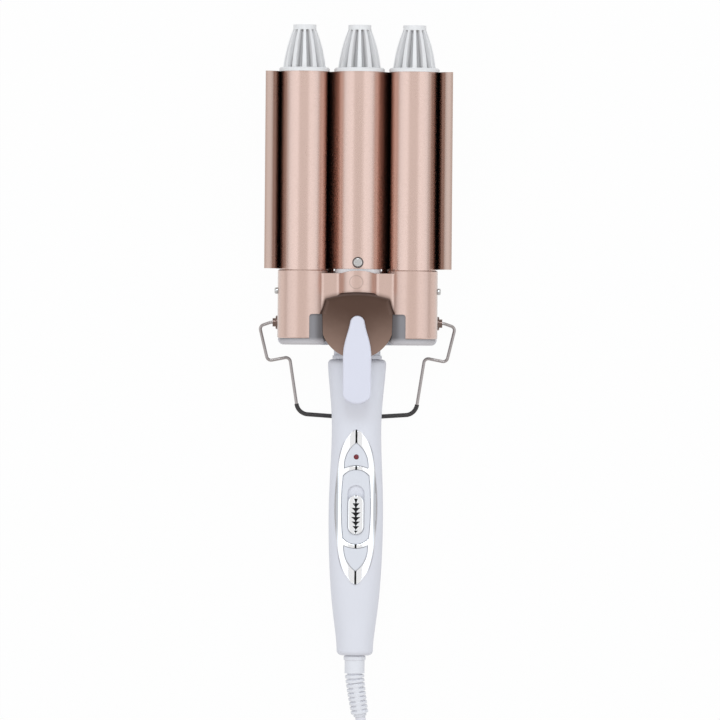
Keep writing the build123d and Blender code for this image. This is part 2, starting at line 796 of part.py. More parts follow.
def jaw_frame():
    """Frame of the fixed jaw: floor plate, hinge ears, barrel stem and the neck that enters the handle."""
    inset = housing_wall + plate_clearance
    frame = block(
        -housing_half_width + inset, housing_half_width - inset,
        housing_foot_y + inset, housing_top_y - inset, plate_under_z, plate_top_z,
    )
    frame = fillet(frame.edges().filter_by(Axis.Z), housing_corner - housing_wall / 2)
    frame += fixed_ears()
    stem = block(-stem_half_width, stem_half_width, stem_foot_y, ring_foot_y, plate_under_z, stem_top_z)
    stem = fillet(stem.edges().filter_by(Axis.Y).sort_by(Axis.Z)[-2:], 3.0)
    step_y = housing_top_y - inset
    frame += stem - block(-barrel_pitch, barrel_pitch, step_y, ring_foot_y + 1, 0, housing_height + 0.1)
    frame += cylinder_y(stem_boss_radius, ring_foot_y - 5, ring_foot_y + stem_boss_length)
    neck = oval_y(neck_half_width, neck_half_depth, collar_top_y, neck_top_y)
    neck += oval_y(collar_half_width, collar_half_depth, handle_top_y + 0.1, collar_top_y)
    neck += oval_y(neck_spigot_half_width, neck_spigot_half_depth, neck_spigot_end_y, handle_top_y + 0.1)
    foot_end_y = housing_foot_y + inset + 1
    foot = oval_y(neck_half_width, neck_half_depth, neck_top_y, foot_end_y)
    foot = foot & block(-neck_half_width, neck_half_width, neck_top_y, foot_end_y, plate_under_z, plate_top_z)
    frame += neck + foot
    frame -= cylinder_y(lead_bore_radius, stem_foot_y + 8, ring_foot_y + stem_boss_length + 1)
    slot_foot_z = plate_top_z + 0.3
    half = lead_slot_half_width
    frame -= block(-half, half, stem_foot_y - 1, ring_foot_y - 2, slot_foot_z, axis_z)
    frame -= cylinder_y(neck_bore_radius, neck_spigot_end_y - 1, neck_top_y + 1, 0, neck_bore_z)
    reach = hinge_pin_radius + hinge_clearance
    frame -= cylinder_x(reach, -2 * barrel_pitch, 2 * barrel_pitch, hinge_y, hinge_z)
    for x, y in post_places():
        frame -= cylinder_z(screw_grip, plate_under_z - 1, plate_top_z - 0.5, x, y)
    return frame


def insulating_ring():
    """Pale ring between the hot centre barrel and the housing, with a spigot inside the barrel."""
    ring = cylinder_y(ring_radius, ring_foot_y, ring_top_y)
    ring += cylinder_y(spigot_radius, ring_top_y, ring_top_y + ring_spigot_length)
    ring -= cylinder_y(stem_boss_radius + 0.1, ring_foot_y - 1, ring_top_y + ring_spigot_length + 1)
    screw_y = jaw_root_y + barrel_screw_rise
    return ring - cylinder_z(screw_grip, axis_z, axis_z + barrel_radius, 0, screw_y)


def hinge_pin():
    end_x = clip_x + clip_thickness + 0.6
    return cylinder_x(hinge_pin_radius, -end_x, end_x, hinge_y, hinge_z)


def hinge_clips():
    clip = cylinder_x(clip_radius, clip_x, clip_x + clip_thickness, hinge_y, hinge_z)
    clip -= cylinder_x(hinge_pin_radius + 0.03, clip_x - 1, clip_x + 2, hinge_y, hinge_z)
    clip -= block(clip_x - 1, clip_x + 2, hinge_y - 0.9, hinge_y + 0.9, hinge_z, hinge_z + 2 * clip_radius)
    return both_sides(clip)


def torsion_spring():
    """Coil round the hinge pin with one leg up to the tongue and one down to the frame's plate."""
    length = spring_pitch * (spring_whole_turns + 0.5 - spring_leg_angle / 180)
    helix = Helix(pitch=spring_pitch, height=length, radius=spring_radius)
    wire = Plane(helix @ 0, z_dir=helix % 0) * Circle(spring_wire)
    coil = sweep(wire, path=helix)
    leg = Align.CENTER, Align.CENTER, Align.MIN
    lower = Plane(helix @ 0, z_dir=-(helix % 0)) * Cylinder(spring_wire, spring_lower_leg, align=leg)
    upper = Plane(helix @ 1, z_dir=helix % 1) * Cylinder(spring_wire, spring_upper_leg, align=leg)
    spring = Rot(0, 90, 0) * Rot(0, 0, spring_leg_angle) * (coil + lower + upper)
    return Pos(-length / 2, hinge_y, hinge_z) * spring


# ---------------------------------------------------------------- handle
def handle_body(growth):
    """Handle outline moved out by growth, or in where it is negative."""
    sections = []
    for y, half_width, half_depth in handle_stations:
        if y == handle_top_y:
            y += growth
        if y == handle_end_y:
            y -= growth
        oval = Pos(0, handle_axis_z) * Ellipse(half_width + growth, half_depth + growth)
        sections.append(section_plane(y) * oval)
    return loft(sections)


def handle_hull():
    body = handle_body(0)
    ends = body.edges().sort_by(Axis.Y)
    body = fillet(ends[-1], handle_top_round)
    return fillet(body.edges().sort_by(Axis.Y)[0], handle_end_round)


def panel_prism(outline):
    return extrude(Pos(0, panel_y) * outline, amount=2 * axis_z)


def pointed_oval(growth=0.0):
    """Outline of the bezel: an oval drawn to a point at both ends."""
    length = bezel_half_length + growth
    width = bezel_half_width + growth
    shoulder = (0.555 * width, 0.845 * length)
    flank = (0.873 * width, 0.5 * length)
    upper = [(0, length), shoulder, flank, (width, 0)]
    lower = [(x, -y) for x, y in reversed(upper[:-1])]
    right = Spline(*upper, *lower)
    return make_face([right, mirror(right, Plane.YZ)])


def window_outline(growth=0.0):
    """Arched window of the upper half of the bezel."""
    apex = (0, window_apex + growth)
    flank = (window_flank[0] + growth, window_flank[1])
    corner = (window_half_width + growth, window_foot - growth)
    foot = (0, window_foot_arch - growth)
    right = ThreePointArc(apex, flank, corner)
    arch = ThreePointArc(corner, foot, (-corner[0], corner[1]))
    return make_face([right, arch, mirror(right, Plane.YZ)])


def switch_plate_outline(growth=0.0):
    x = switch_plate_corner[0] + growth
    y = switch_plate_corner[1] + growth
    top = switch_plate_half_length + growth
    side = switch_plate_half_width + growth
    return make_face([
        ThreePointArc((-x, y), (0, top), (x, y)),
        ThreePointArc((x, y), (side, 0), (x, -y)),
        ThreePointArc((x, -y), (0, -top), (-x, -y)),
        ThreePointArc((-x, -y), (-side, 0), (-x, y)),
    ])


def slot_outline(length, width, centre):
    return Pos(0, centre) * Rot(0, 0, 90) * SlotOverall(length, width)


def handle_boss(y, z_low, z_high):
    return cylinder_z(handle_boss_radius, z_low, z_high, 0, y)


def handle_shells():
    """Front and rear shell, split across the widest line of the handle."""
    hull = handle_hull()
    cavity = handle_body(-handle_wall)
    shell = hull - cavity
    for y in handle_screw_ys:
        shell += handle_boss(y, 0, 2 * handle_axis_z) & hull
    for y in board_screw_ys:
        post = cylinder_z(board_post_radius, board_top_z, panel_z, 0, y)
        shell += post & hull
    shell -= oval_y(
        neck_spigot_half_width + neck_clearance, neck_spigot_half_depth + neck_clearance,
        handle_top_y - 2 * handle_wall, handle_top_y + 1,
    )
    shaft_bore = swivel_shaft_radius + swivel_shaft_clearance
    shell -= cylinder_y(shaft_bore, handle_end_y - 1, handle_end_y + 2 * handle_wall, 0, handle_axis_z)
    split = handle_axis_z
    length = (handle_end_y - 5, handle_top_y + 5)
    front = shell & block(-span, span, *length, split + shell_seam / 2, 3 * axis_z)
    rear = shell & block(-span, span, *length, -5, split - shell_seam / 2)
    recess = panel_prism(pointed_oval(panel_clearance)) - handle_body(-recess_depth)
    front -= recess
    stem_slot = panel_prism(slot_outline(stem_slot_length, stem_slot_width, slot_centre))
    front -= stem_slot & block(-span, span, handle_end_y, handle_top_y, board_top_z, 3 * axis_z)
    front -= cylinder_z(lamp_radius + screw_clearance, board_top_z, 2 * axis_z, 0, lens_y)
    for y in board_screw_ys:
        front -= cylinder_z(screw_grip, board_top_z - 1, board_top_z + 5, 0, y)
    screw_top = handle_screw_sink_z() + handle_screw_length
    for y in handle_screw_ys:
        rear -= cylinder_z(handle_screw_head + screw_clearance, -1, handle_screw_sink_z(), 0, y)
        rear -= cylinder_z(screw_hole, 0, split + 1, 0, y)
        front -= cylinder_z(screw_grip, split - 1, screw_top + 0.3, 0, y)
    return front, rear


def handle_screw_sink_z():
    return handle_axis_z - panel_half_depth + handle_screw_sink


def handle_screws():
    screw = pan_screw(handle_screw_head, handle_screw_head_height, handle_screw_length)
    return Part() + [Pos(0, y, handle_screw_sink_z()) * screw for y in handle_screw_ys]


def panel_band(outline, depth, rise):
    """Piece of the control panel: its outline between two surfaces that follow the handle."""
    skin = handle_body(rise) - handle_body(-depth)
    upper_half = block(-span, span, handle_end_y, handle_top_y, handle_axis_z, 3 * axis_z)
    return skin & panel_prism(outline) & upper_half


def bezel_frame():
    openings = window_outline(panel_clearance) + Rot(0, 0, 180) * window_outline(panel_clearance)
    openings += switch_plate_outline(panel_clearance)
    return panel_band(pointed_oval() - openings, bezel_depth, bezel_rise)


def upper_window():
    window = panel_band(window_outline(), bezel_depth, window_rise)
    return window - cylinder_z(lens_radius + panel_clearance, handle_axis_z, 3 * axis_z, 0, lens_y)


def lower_window():
    return panel_band(Rot(0, 0, 180) * window_outline(), bezel_depth, window_rise)


def switch_plate():
    outline = switch_plate_outline() - slot_outline(slot_length, slot_width, slot_centre)
    return panel_band(outline, bezel_depth, panel_clearance)


def slide_button():
    """Ridged button of the slide switch, at the lower end of its slot, with the slider stem below."""
    foot_z = panel_z - recess_depth + button_floor_gap
    button_y = slot_centre - (slot_length - button_length) / 2 + button_end_gap
    top = panel_z + button_rise - foot_z
    cap_body = extrude(slot_outline(button_length, button_width, button_y), amount=top)
    cap_body = fillet(cap_body.faces().sort_by(Axis.Z)[-1].edges(), button_edge)
    for i in range(ridge_count):
        y = button_y + (i - (ridge_count - 1) / 2) * ridge_pitch
        half = ridge_groove / 2
        cap_body -= block(-button_width, button_width, y - half, y + half, top - ridge_depth, top + 1)
    stem_low = board_top_z + switch_height - switch_slot_depth + 0.3 - foot_z
    slider_low = button_y - slider_length / 2
    slider_high = button_y + slider_length / 2
    cap_body += block(-slider_width / 2, slider_width / 2, slider_low, slider_high, stem_low, 0)
    return Pos(0, panel_y, foot_z) * cap_body


def switch_body():
    """Slide switch on the board, with the slot that the button's stem slides in."""
    centre_y = panel_y + slot_centre
    travel = slot_length - button_length - 2 * button_end_gap
    body = block(
        -switch_half_width, switch_half_width, centre_y - switch_length / 2, centre_y + switch_length / 2,
        board_top_z, board_top_z + switch_height,
    )
    slot_half = (slider_length + travel) / 2 + 0.4
    slot = block(
        -slider_width / 2 - 0.25, slider_width / 2 + 0.25, centre_y - slot_half, centre_y + slot_half,
        board_top_z + switch_height - switch_slot_depth, board_top_z + switch_height + 1,
    )
    return body - slot


def circuit_board():
    board = block(
        -board_half_width, board_half_width, *board_ends, board_top_z - board_thickness, board_top_z
    )
    for y in board_screw_ys:
        board -= cylinder_z(screw_hole, 0, 2 * axis_z, 0, y)
    return board


def board_screws():
    screw = pan_screw(board_screw_head, board_screw_head_height, board_screw_length)
    return Part() + [Pos(0, y, board_top_z - board_thickness) * screw for y in board_screw_ys]


def indicator_lamp():
    top = panel_z - recess_depth
    lamp = cylinder_z(lamp_radius, board_top_z, top, 0, lens_y)
    return fillet(lamp.edges().sort_by(Axis.Z)[-1], 1.0)


def indicator_lens():
    lens = cylinder_z(lens_radius, panel_z - bezel_depth, panel_z + lens_rise, 0, lens_y)
    return fillet(lens.edges().sort_by(Axis.Z)[-1], lens_rise)


def heater_leads():
    """Two insulated leads from the board, past the boss and through the neck, to the centre heater."""
    leads = Part()
    board_z = board_top_z + lead_radius + 0.05
    plate_z = plate_top_z + 2 * lead_radius
    for s in side_signs:
        route = [
            (s * lead_board_x, board_ends[1] - 3, board_z),
            (s * lead_board_x, neck_spigot_end_y - lead_straight, board_z),
            (s * lead_neck_x, neck_spigot_end_y - 1, board_z - 0.4),
            (s * lead_waist_x, neck_top_y - 3, lead_waist_z),
            (s * lead_stem_x, neck_top_y + 4, plate_z),
            (s * lead_stem_x, stem_foot_y + 1, plate_z),
            (s * lead_stem_x, stem_foot_y + 2 * lead_straight, axis_z - 2.5),
            (s * lead_stem_x, heater_start_y - 0.3, axis_z),
        ]
        path = FilletPolyline(*route, radius=lead_bend)
        leads += sweep(Plane(path @ 0, z_dir=path % 0) * Circle(lead_radius), path=path)
    return leads


# ---------------------------------------------------------------- stand
def stand_point(x, y):
    """Point of the folded stand: its plane runs from the pivots down to just above the surface."""
    fall = (stand_z - stand_foot_z) / (stand_y - stand_foot_y)
    return (x, y, stand_z - (stand_y - y) * fall)


def stand_corners():
    """Corners of the right half of the stand in plan, from the bush to the lower bow."""
    ends = [(-stand_end_inset, stand_y), (stand_shoulder_reach, stand_y)]
    from_side = ends + [stand_elbow, stand_knee, stand_inner_knee, stand_corner]
    return [(housing_half_width + x, y) for x, y in from_side]


def stand_wire():
    right = stand_corners()
    left = [(-x, y) for x, y in reversed(right)]
    points = [stand_point(x, y) for x, y in right + [(0, stand_foot_y)] + left]
    bends = [stand_shoulder_bend, stand_bend, stand_bend, stand_bend, stand_corner_bend]
    path = FilletPolyline(*points, radius=bends + [stand_foot_bend] + bends[::-1])
    return sweep(Plane(path @ 0, z_dir=path % 0) * Circle(wire_radius), path=path)


def stand_sleeve():
    """Dark sleeve on the lower bow of the wire."""
    knee, corner = stand_corners()[-2:]
    share = (knee[1] - stand_sleeve_start_y) / (knee[1] - corner[1])
    start_x = knee[0] + share * (corner[0] - knee[0])
    right = [(start_x, stand_sleeve_start_y), corner]
    left = [(-x, y) for x, y in reversed(right)]
    points = [stand_point(x, y) for x, y in right + [(0, stand_foot_y)] + left]
    path = FilletPolyline(*points, radius=[stand_corner_bend, stand_foot_bend, stand_corner_bend])
    ring = Circle(stand_sleeve_radius) - Circle(wire_radius + stand_sleeve_clearance)
    return sweep(Plane(path @ 0, z_dir=path % 0) * ring, path=path)


def stand_bushes():
    """Flanged bushes in the housing's sides that the ends of the wire turn in."""
    wall_x = housing_half_width + bush_gap
    flange_x = wall_x + bush_flange_thickness
    bush = cylinder_x(bush_flange_radius, wall_x, flange_x, stand_y, stand_z)
    bush = chamfer(bush.edges().filter_by(GeomType.CIRCLE).sort_by(Axis.X)[-1], 0.4)
    bush += cylinder_x(bush_hub_radius, flange_x, flange_x + bush_hub_length, stand_y, stand_z)
    bush += cylinder_x(
        bush_hub_radius - 0.3, housing_half_width - housing_wall - 0.4, wall_x, stand_y, stand_z
    )
    bore_ends = (housing_half_width - 3 * housing_wall, flange_x + 2 * bush_hub_length)
    bush -= cylinder_x(wire_radius + bush_bore_clearance, *bore_ends, stand_y, stand_z)
    return both_sides(bush)


# ---------------------------------------------------------------- cord exit and cord
def swivel_sleeve():
    """Turning sleeve of the cord exit: collar and sleeve outside, flange and contact hub inside."""
    collar_top = handle_end_y - swivel_gap
    flange_low = handle_end_y + handle_wall + swivel_gap
    flange_high = flange_low + swivel_flange_thickness
    sleeve = cylinder_y(swivel_collar_radius, collar_top - swivel_collar_length, collar_top, 0, handle_axis_z)
    sleeve = chamfer(sleeve.edges().filter_by(GeomType.CIRCLE), 0.4)
    sleeve += cylinder_y(swivel_radius, swivel_end_y, collar_top - swivel_collar_length, 0, handle_axis_z)
    sleeve += cylinder_y(swivel_shaft_radius, collar_top, flange_low, 0, handle_axis_z)
    sleeve += cylinder_y(swivel_flange_radius, flange_low, flange_high, 0, handle_axis_z)
    hub = cylinder_y(swivel_hub_radius, flange_high, flange_high + swivel_hub_length, 0, handle_axis_z)
    return sleeve + hub


def contact_ring_ys():
    base = handle_end_y + handle_wall + swivel_gap + swivel_flange_thickness
    return [base + start for start in contact_ring_offsets]


def swivel_rings():
    rings = Part()
    half_width = contact_ring_width / 2
    for y in contact_ring_ys():
        ring = cylinder_y(contact_ring_radius, y - half_width, y + half_width, 0, handle_axis_z)
        rings += ring - cylinder_y(swivel_hub_radius, y - 5, y + 5, 0, handle_axis_z)
    return rings


def contact_block():
    """Insulating block on the rear shell that holds the spring contacts."""
    width, length, height = contact_block_size
    centre_y = sum(contact_ring_ys()) / 2
    low_z = contact_spring_foot_z() - height
    slab = Pos(0, centre_y, low_z + height / 2) * Box(width, length, height)
    around = block(-span, span, handle_end_y, handle_top_y, 0, handle_axis_z)
    return slab - (around - handle_body(-handle_wall - 0.1))


def contact_spring_foot_z():
    return handle_axis_z - contact_ring_radius - 2.2


def contact_springs():
    springs = Part()
    for y in contact_ring_ys():
        springs += block(
            -1.6, 1.6, y - 0.6, y + 0.6, contact_spring_foot_z(), handle_axis_z - contact_ring_radius - 0.3
        )
    return springs


def strain_relief():
    """Flexible boot of rings on a tapering core, bent the way the cord leaves."""
    path = FilletPolyline(*boot_route, radius=arc_radii(boot_route))
    start = Plane(path @ 0, z_dir=path % 0) * Circle(boot_start_radius)
    end = Plane(path @ 1, z_dir=path % 1) * Circle(boot_end_radius)
    boot = sweep([start, end], path=path, multisection=True)
    for i in range(boot_ring_count):
        share = (i + 0.7) / boot_ring_count
        radius = boot_ring_radius + share * (boot_ring_end_radius - boot_ring_radius)
        ring = Cylinder(radius, boot_ring_width)
        ring = chamfer(ring.edges().filter_by(GeomType.CIRCLE), 0.3)
        boot += Plane(path @ share, z_dir=path % share) * ring
    near = Plane(path @ 0, z_dir=path % 0)
    return boot - near * Pos(0, 0, -5) * Box(20, 20, 10)


def coil_section(growth=0.0):
    """Section of the stored coil: a square bundle of turns that lies on its ties."""
    half = coil_rows * cord_radius + growth
    corner = cord_radius + growth
    centre = (coil_mean_radius, tie_thickness + coil_rows * cord_radius)
    return Plane.XZ * Pos(*centre) * RectangleRounded(2 * half, 2 * half, corner)


def cord_coil():
    return Pos(*coil_centre, 0) * revolve(coil_section(), Axis.Z)


def coil_ties():
    ties = Part()
    band = revolve(coil_section(tie_thickness), Axis.Z, revolution_arc=tie_span)
    for angle in tie_angles:
        ties += Pos(*coil_centre, 0) * Rot(0, 0, angle) * band
    return ties - cord_coil()


def plug_frame():
    """Frame of the plug: z along its length, x across its pins."""
    end = tail_route[-1]
    heading = Vector(cos(radians(plug_yaw)), sin(radians(plug_yaw)), 0)
    return Plane(origin=end, x_dir=(-heading.Y, heading.X, 0), z_dir=heading)


def plug_body():
    neck = Circle(plug_neck_radius)
    waist = RectangleRounded(1.5 * plug_half_width, 1.8 * plug_half_height, 4.0)
    waist = Pos(0, 0, 0.45 * plug_length) * waist
    face = Pos(0, 0, plug_length) * RectangleRounded(2 * plug_half_width, 2 * plug_half_height, 4.5)
    body = loft([neck, waist, face])
    body = fillet(body.faces().sort_by(Axis.Z)[-1].edges(), plug_edge)
    return plug_frame() * body


def plug_pins():
    pins = Part()
    for s in side_signs:
        pin = cylinder_z(
            plug_pin_radius, plug_length, plug_length + plug_pin_length, s * plug_pin_spacing / 2, 0
        )
        pins += fillet(pin.edges().sort_by(Axis.Z)[-1], 1.2)
    return plug_frame() * pins


# ---------------------------------------------------------------- all nodes
def all_nodes():
    front_shell, rear_shell = handle_shells()
    cord, cord_length = tube_along(cord_route, cord_radius, "cord")
    tail, tail_length = tube_along(tail_route, cord_radius, "cord tail")
    coil_length = coil_turns * 2 * pi * coil_mean_radius
    print(f"cord length {cord_length + tail_length + coil_length:.0f} beyond the boot")
    return {
        "handle_front_shell": front_shell,
        "handle_rear_shell": rear_shell,
        "handle_screws": handle_screws(),
        "bezel_frame": bezel_frame(),
        "upper_window": upper_window(),
        "lower_window": lower_window(),
        "switch_plate": switch_plate(),
        "indicator_lens": indicator_lens(),
        "indicator_lamp": indicator_lamp(),
        "circuit_board": circuit_board(),
        "board_screws": board_screws(),
        "switch_body": switch_body(),
        "heater_leads": heater_leads(),
        "contact_block": contact_block(),
        "contact_springs": contact_springs(),
        "jaw_frame": jaw_frame(),
        "rear_housing": rear_housing(),
        "housing_screws": housing_screws(),
        "insulating_ring": insulating_ring(),
        "centre_barrel": centre_barrel(),
        "centre_barrel_screw": barrel_screw(),
        "centre_cap": cap(0),
        "centre_heater": heater(0),
        "centre_heat_spreader": spreader(0),
        "hinge_pin": hinge_pin(),
        "hinge_clips": hinge_clips(),
        "torsion_spring": torsion_spring(),
        "stand_bushes": stand_bushes(),
        "clamp_housing": clamp_housing(),
        "thumb_lever": thumb_lever(),
        "lever_screws": lever_screws(),
        "left_barrel": outer_barrel(-1),
        "right_barrel": outer_barrel(1),
        "left_cap": cap(-barrel_pitch),
        "right_cap": cap(barrel_pitch),
        "left_barrel_socket": barrel_socket(-1),
        "right_barrel_socket": barrel_socket(1),
        "side_screws": side_screws(),
        "left_heater": heater(-barrel_pitch),
        "right_heater": heater(barrel_pitch),
        "left_heat_spreader": spreader(-barrel_pitch),
        "right_heat_spreader": spreader(barrel_pitch),
        "stand_wire": stand_wire(),
        "stand_sleeve": stand_sleeve(),
        "slide_button": slide_button(),
        "swivel_sleeve": swivel_sleeve(),
        "swivel_rings": swivel_rings(),
        "strain_relief": strain_relief(),
        "cord_tube": cord,
        "cord_tail": tail,
        "cord_coil": cord_coil(),
        "coil_ties": coil_ties(),
        "plug_body": plug_body(),
        "plug_pins": plug_pins(),
    }


os.makedirs("parts", exist_ok=True)
for node, shape in all_nodes().items():
    export_step(shape, f"parts/{node}.step")
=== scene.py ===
"""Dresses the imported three-barrel hair waver: its finishes, its cord and the studio round it."""

import logging
import math
from dataclasses import dataclass
from enum import Enum
from functools import cached_property
from typing import Sequence

import bmesh
import bpy
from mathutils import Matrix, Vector
from mathutils.bvhtree import BVHTree


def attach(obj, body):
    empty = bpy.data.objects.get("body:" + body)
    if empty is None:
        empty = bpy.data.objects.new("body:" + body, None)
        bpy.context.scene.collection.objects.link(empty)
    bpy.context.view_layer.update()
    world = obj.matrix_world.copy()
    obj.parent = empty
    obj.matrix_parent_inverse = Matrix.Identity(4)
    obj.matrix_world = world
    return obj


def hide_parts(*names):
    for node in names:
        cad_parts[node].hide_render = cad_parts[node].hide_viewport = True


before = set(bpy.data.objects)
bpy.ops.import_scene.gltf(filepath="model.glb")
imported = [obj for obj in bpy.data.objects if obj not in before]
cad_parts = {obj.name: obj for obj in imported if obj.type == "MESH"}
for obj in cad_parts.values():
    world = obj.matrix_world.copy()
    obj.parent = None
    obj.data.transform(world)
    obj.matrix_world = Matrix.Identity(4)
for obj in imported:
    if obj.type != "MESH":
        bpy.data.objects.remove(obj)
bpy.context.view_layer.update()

log = logging.getLogger("hair_waver")

Color = tuple[float, float, float]
Pair = tuple[float, float]
Point = tuple[float, float, float]
Socket = bpy.types.NodeSocket
Tone = Color | Socket
Material = bpy.types.Material
Object = bpy.types.Object
Form = bmesh.types.BMesh

MM = 0.001
AXIS_Z = 26.0 * MM
BARREL_PITCH = 29.4 * MM


class Body(Enum):
    """The bodies that carry the made pieces, by their names in the frame."""

    HANDLE = "handle"
    BUTTON = "switch_button"
    CORD = "cord_set"


# -------------------------------- shader graph
class Value:
    """A number that varies over a surface; arithmetic on it adds Math nodes."""

    def __init__(self, graph: "Graph", socket: Socket) -> None:
        """Wraps an output socket of the graph that new nodes go into."""
        self.graph = graph
        self.socket = socket

    def _math(self, operation: str, *operands: "Value | float") -> "Value":
        """Result of a new Math node with these inputs."""
        inputs = dict(enumerate(operands))
        return self.graph.node("ShaderNodeMath", {"operation": operation}, inputs).value()

    def __add__(self, other: "Value | float") -> "Value":
        """Sum."""
        return self._math("ADD", self, other)

    __radd__ = __add__

    def __sub__(self, other: "Value | float") -> "Value":
        """Difference."""
        return self._math("SUBTRACT", self, other)

    def __rsub__(self, other: float) -> "Value":
        """Difference with the number first."""
        return self._math("SUBTRACT", other, self)

    def __mul__(self, other: "Value | float") -> "Value":
        """Product."""
        return self._math("MULTIPLY", self, other)

    __rmul__ = __mul__

    def __truediv__(self, other: "Value | float") -> "Value":
        """Quotient."""
        return self._math("DIVIDE", self, other)

    def __pow__(self, other: float) -> "Value":
        """Power."""
        return self._math("POWER", self, other)

    def __mod__(self, other: float) -> "Value":
        """Remainder, never under zero."""
        return self._math("FLOORED_MODULO", self, other)

    def absolute(self) -> "Value":
        """Distance from zero."""
        return self._math("ABSOLUTE", self)

    def step(self, low: float, high: float) -> "Value":
        """Smooth step from 0 at low to 1 at high.

        Args:
            low: the value that gives 0.
            high: the value that gives 1.

        Returns:
            The eased share.
        """
        settings = {"interpolation_type": "SMOOTHSTEP"}
        inputs = {"Value": self, "From Min": low, "From Max": high}
        return self.graph.node("ShaderNodeMapRange", settings, inputs).value("Result")

    def between(self, low: float, high: float) -> "Value":
        """Line from low, where this is 0, to high, where it is 1."""
        return self * (high - low) + low


class Placed:
    """A node in a graph, and its outputs."""

    def __init__(self, graph: "Graph", node: bpy.types.Node) -> None:
        """Wraps a node of the graph."""
        self.graph = graph
        self.node = node

    def out(self, name: str | int = 0) -> Socket:
        """Output socket by name or place."""
        return self.node.outputs[name]

    def value(self, name: str | int = 0) -> Value:
        """Output that takes part in arithmetic."""
        return Value(self.graph, self.node.outputs[name])


class Graph:
    """The node tree of one procedural material."""

    def __init__(self, name: str) -> None:
        """Starts an empty material.

        Args:
            name: the material's name.
        """
        self.material = bpy.data.materials.new(name)
        self.material.use_nodes = True
        self.tree = self.material.node_tree
        self.tree.nodes.clear()

    @classmethod
    def of_tree(cls, tree: bpy.types.NodeTree) -> "Graph":
        """Wraps a tree that belongs to something else, such as the world.

        Args:
            tree: the tree, which is emptied.

        Returns:
            The graph of that tree.
        """
        graph = cls.__new__(cls)
        graph.material = None
        graph.tree = tree
        tree.nodes.clear()
        return graph

    def node(self, kind: str, settings: dict | None = None, inputs: dict | None = None) -> Placed:
        """Adds a node.

        Args:
            kind: the node's type.
            settings: its properties, set before its sockets.
            inputs: values, sockets, wrapped values or placed nodes for its sockets, by name or place.

        Returns:
            The placed node.
        """
        node = self.tree.nodes.new(kind)
        for key, setting in (settings or {}).items():
            setattr(node, key, setting)
        for key, given in (inputs or {}).items():
            socket = node.inputs[key]
            if isinstance(given, Value):
                self.tree.links.new(given.socket, socket)
            elif isinstance(given, Placed):
                self.tree.links.new(given.out(), socket)
            elif isinstance(given, Socket):
                self.tree.links.new(given, socket)
            else:
                socket.default_value = given
        return Placed(self, node)

    def place(self) -> Socket:
        """The surface point in the waver's own frame, in metres."""
        return self.node("ShaderNodeTexCoord").out("Object")

    def noise(self, scale: float, detail: float = 2.0, stretch: Point = (1, 1, 1)) -> Value:
        """Noise over the surface.

        Args:
            scale: features per metre.
            detail: octaves.
            stretch: factors on the coordinates, under 1 along a grain.

        Returns:
            A value round 0.5.
        """
        spot = self.node("ShaderNodeMapping", {}, {"Vector": self.place(), "Scale": stretch})
        inputs = {"Vector": spot, "Scale": scale, "Detail": detail}
        return self.node("ShaderNodeTexNoise", {}, inputs).value("Fac")

    def spot(self) -> tuple[Value, Value, Value]:
        """The surface point's X, Y and Z in the waver's own frame, in metres."""
        parts = self.node("ShaderNodeSeparateXYZ", {}, {0: self.place()})
        return parts.value("X"), parts.value("Y"), parts.value("Z")

    def mix(self, share: Value, low: Tone, high: Tone) -> Socket:
        """Colour between two tones.

        Args:
            share: 0 for low and 1 for high.
            low: a plain colour or a colour socket.
            high: a plain colour or a colour socket.

        Returns:
            The mixed colour.
        """
        ends = {6: low, 7: high}
        inputs = {place: (*tone, 1.0) if isinstance(tone, tuple) else tone for place, tone in ends.items()}
        return self.node("ShaderNodeMix", {"data_type": "RGBA"}, {0: share, **inputs}).out(2)

    def mottled(self, cloud: Value, color: Color, darkest: float) -> Socket:
        """A colour that a cloud darkens a little."""
        return self.mix(cloud, tuple(channel * darkest for channel in color), color)

    def bump(self, height: Value, distance: float) -> Placed:
        """Bump from a height, which stands the distance proud where it is 1."""
        return self.node("ShaderNodeBump", {}, {"Distance": distance, "Height": height})

    def surface(self, inputs: dict) -> Material:
        """Ends the graph in a Principled shader.

        Args:
            inputs: the shader's sockets.

        Returns:
            The material.
        """
        shader = self.node("ShaderNodeBsdfPrincipled", {}, inputs)
        self.node("ShaderNodeOutputMaterial", {}, {"Surface": shader})
        return self.material


# -------------------------------- finishes
@dataclass(frozen=True)
class Moulding:
    """Moulded plastic: a fine spark-eroded skin, slightly uneven in tone and gloss."""

    name: str
    color: Color
    roughness: float = 0.42
    grain: float = 0.35 * MM
    depth: float = 0.010 * MM
    mottle: float = 0.03
    gloss_drift: float = 0.05

    def shaded(self, graph: Graph, tone: Socket) -> Socket:
        """Colour of the moulding at a point; the plain moulding keeps one tone."""
        return tone

    def material(self) -> Material:
        """Builds the material.

        Returns:
            The material.
        """
        graph = Graph(self.name)
        grain = graph.noise(1 / self.grain)
        cloud = graph.noise(60.0, 3.0)
        return graph.surface(
            {
                "Base Color": self.shaded(graph, graph.mottled(cloud, self.color, 1 - self.mottle)),
                "Roughness": (cloud * 2 - 1) * self.gloss_drift + self.roughness,
                "Normal": graph.bump(grain, self.depth),
            }
        )


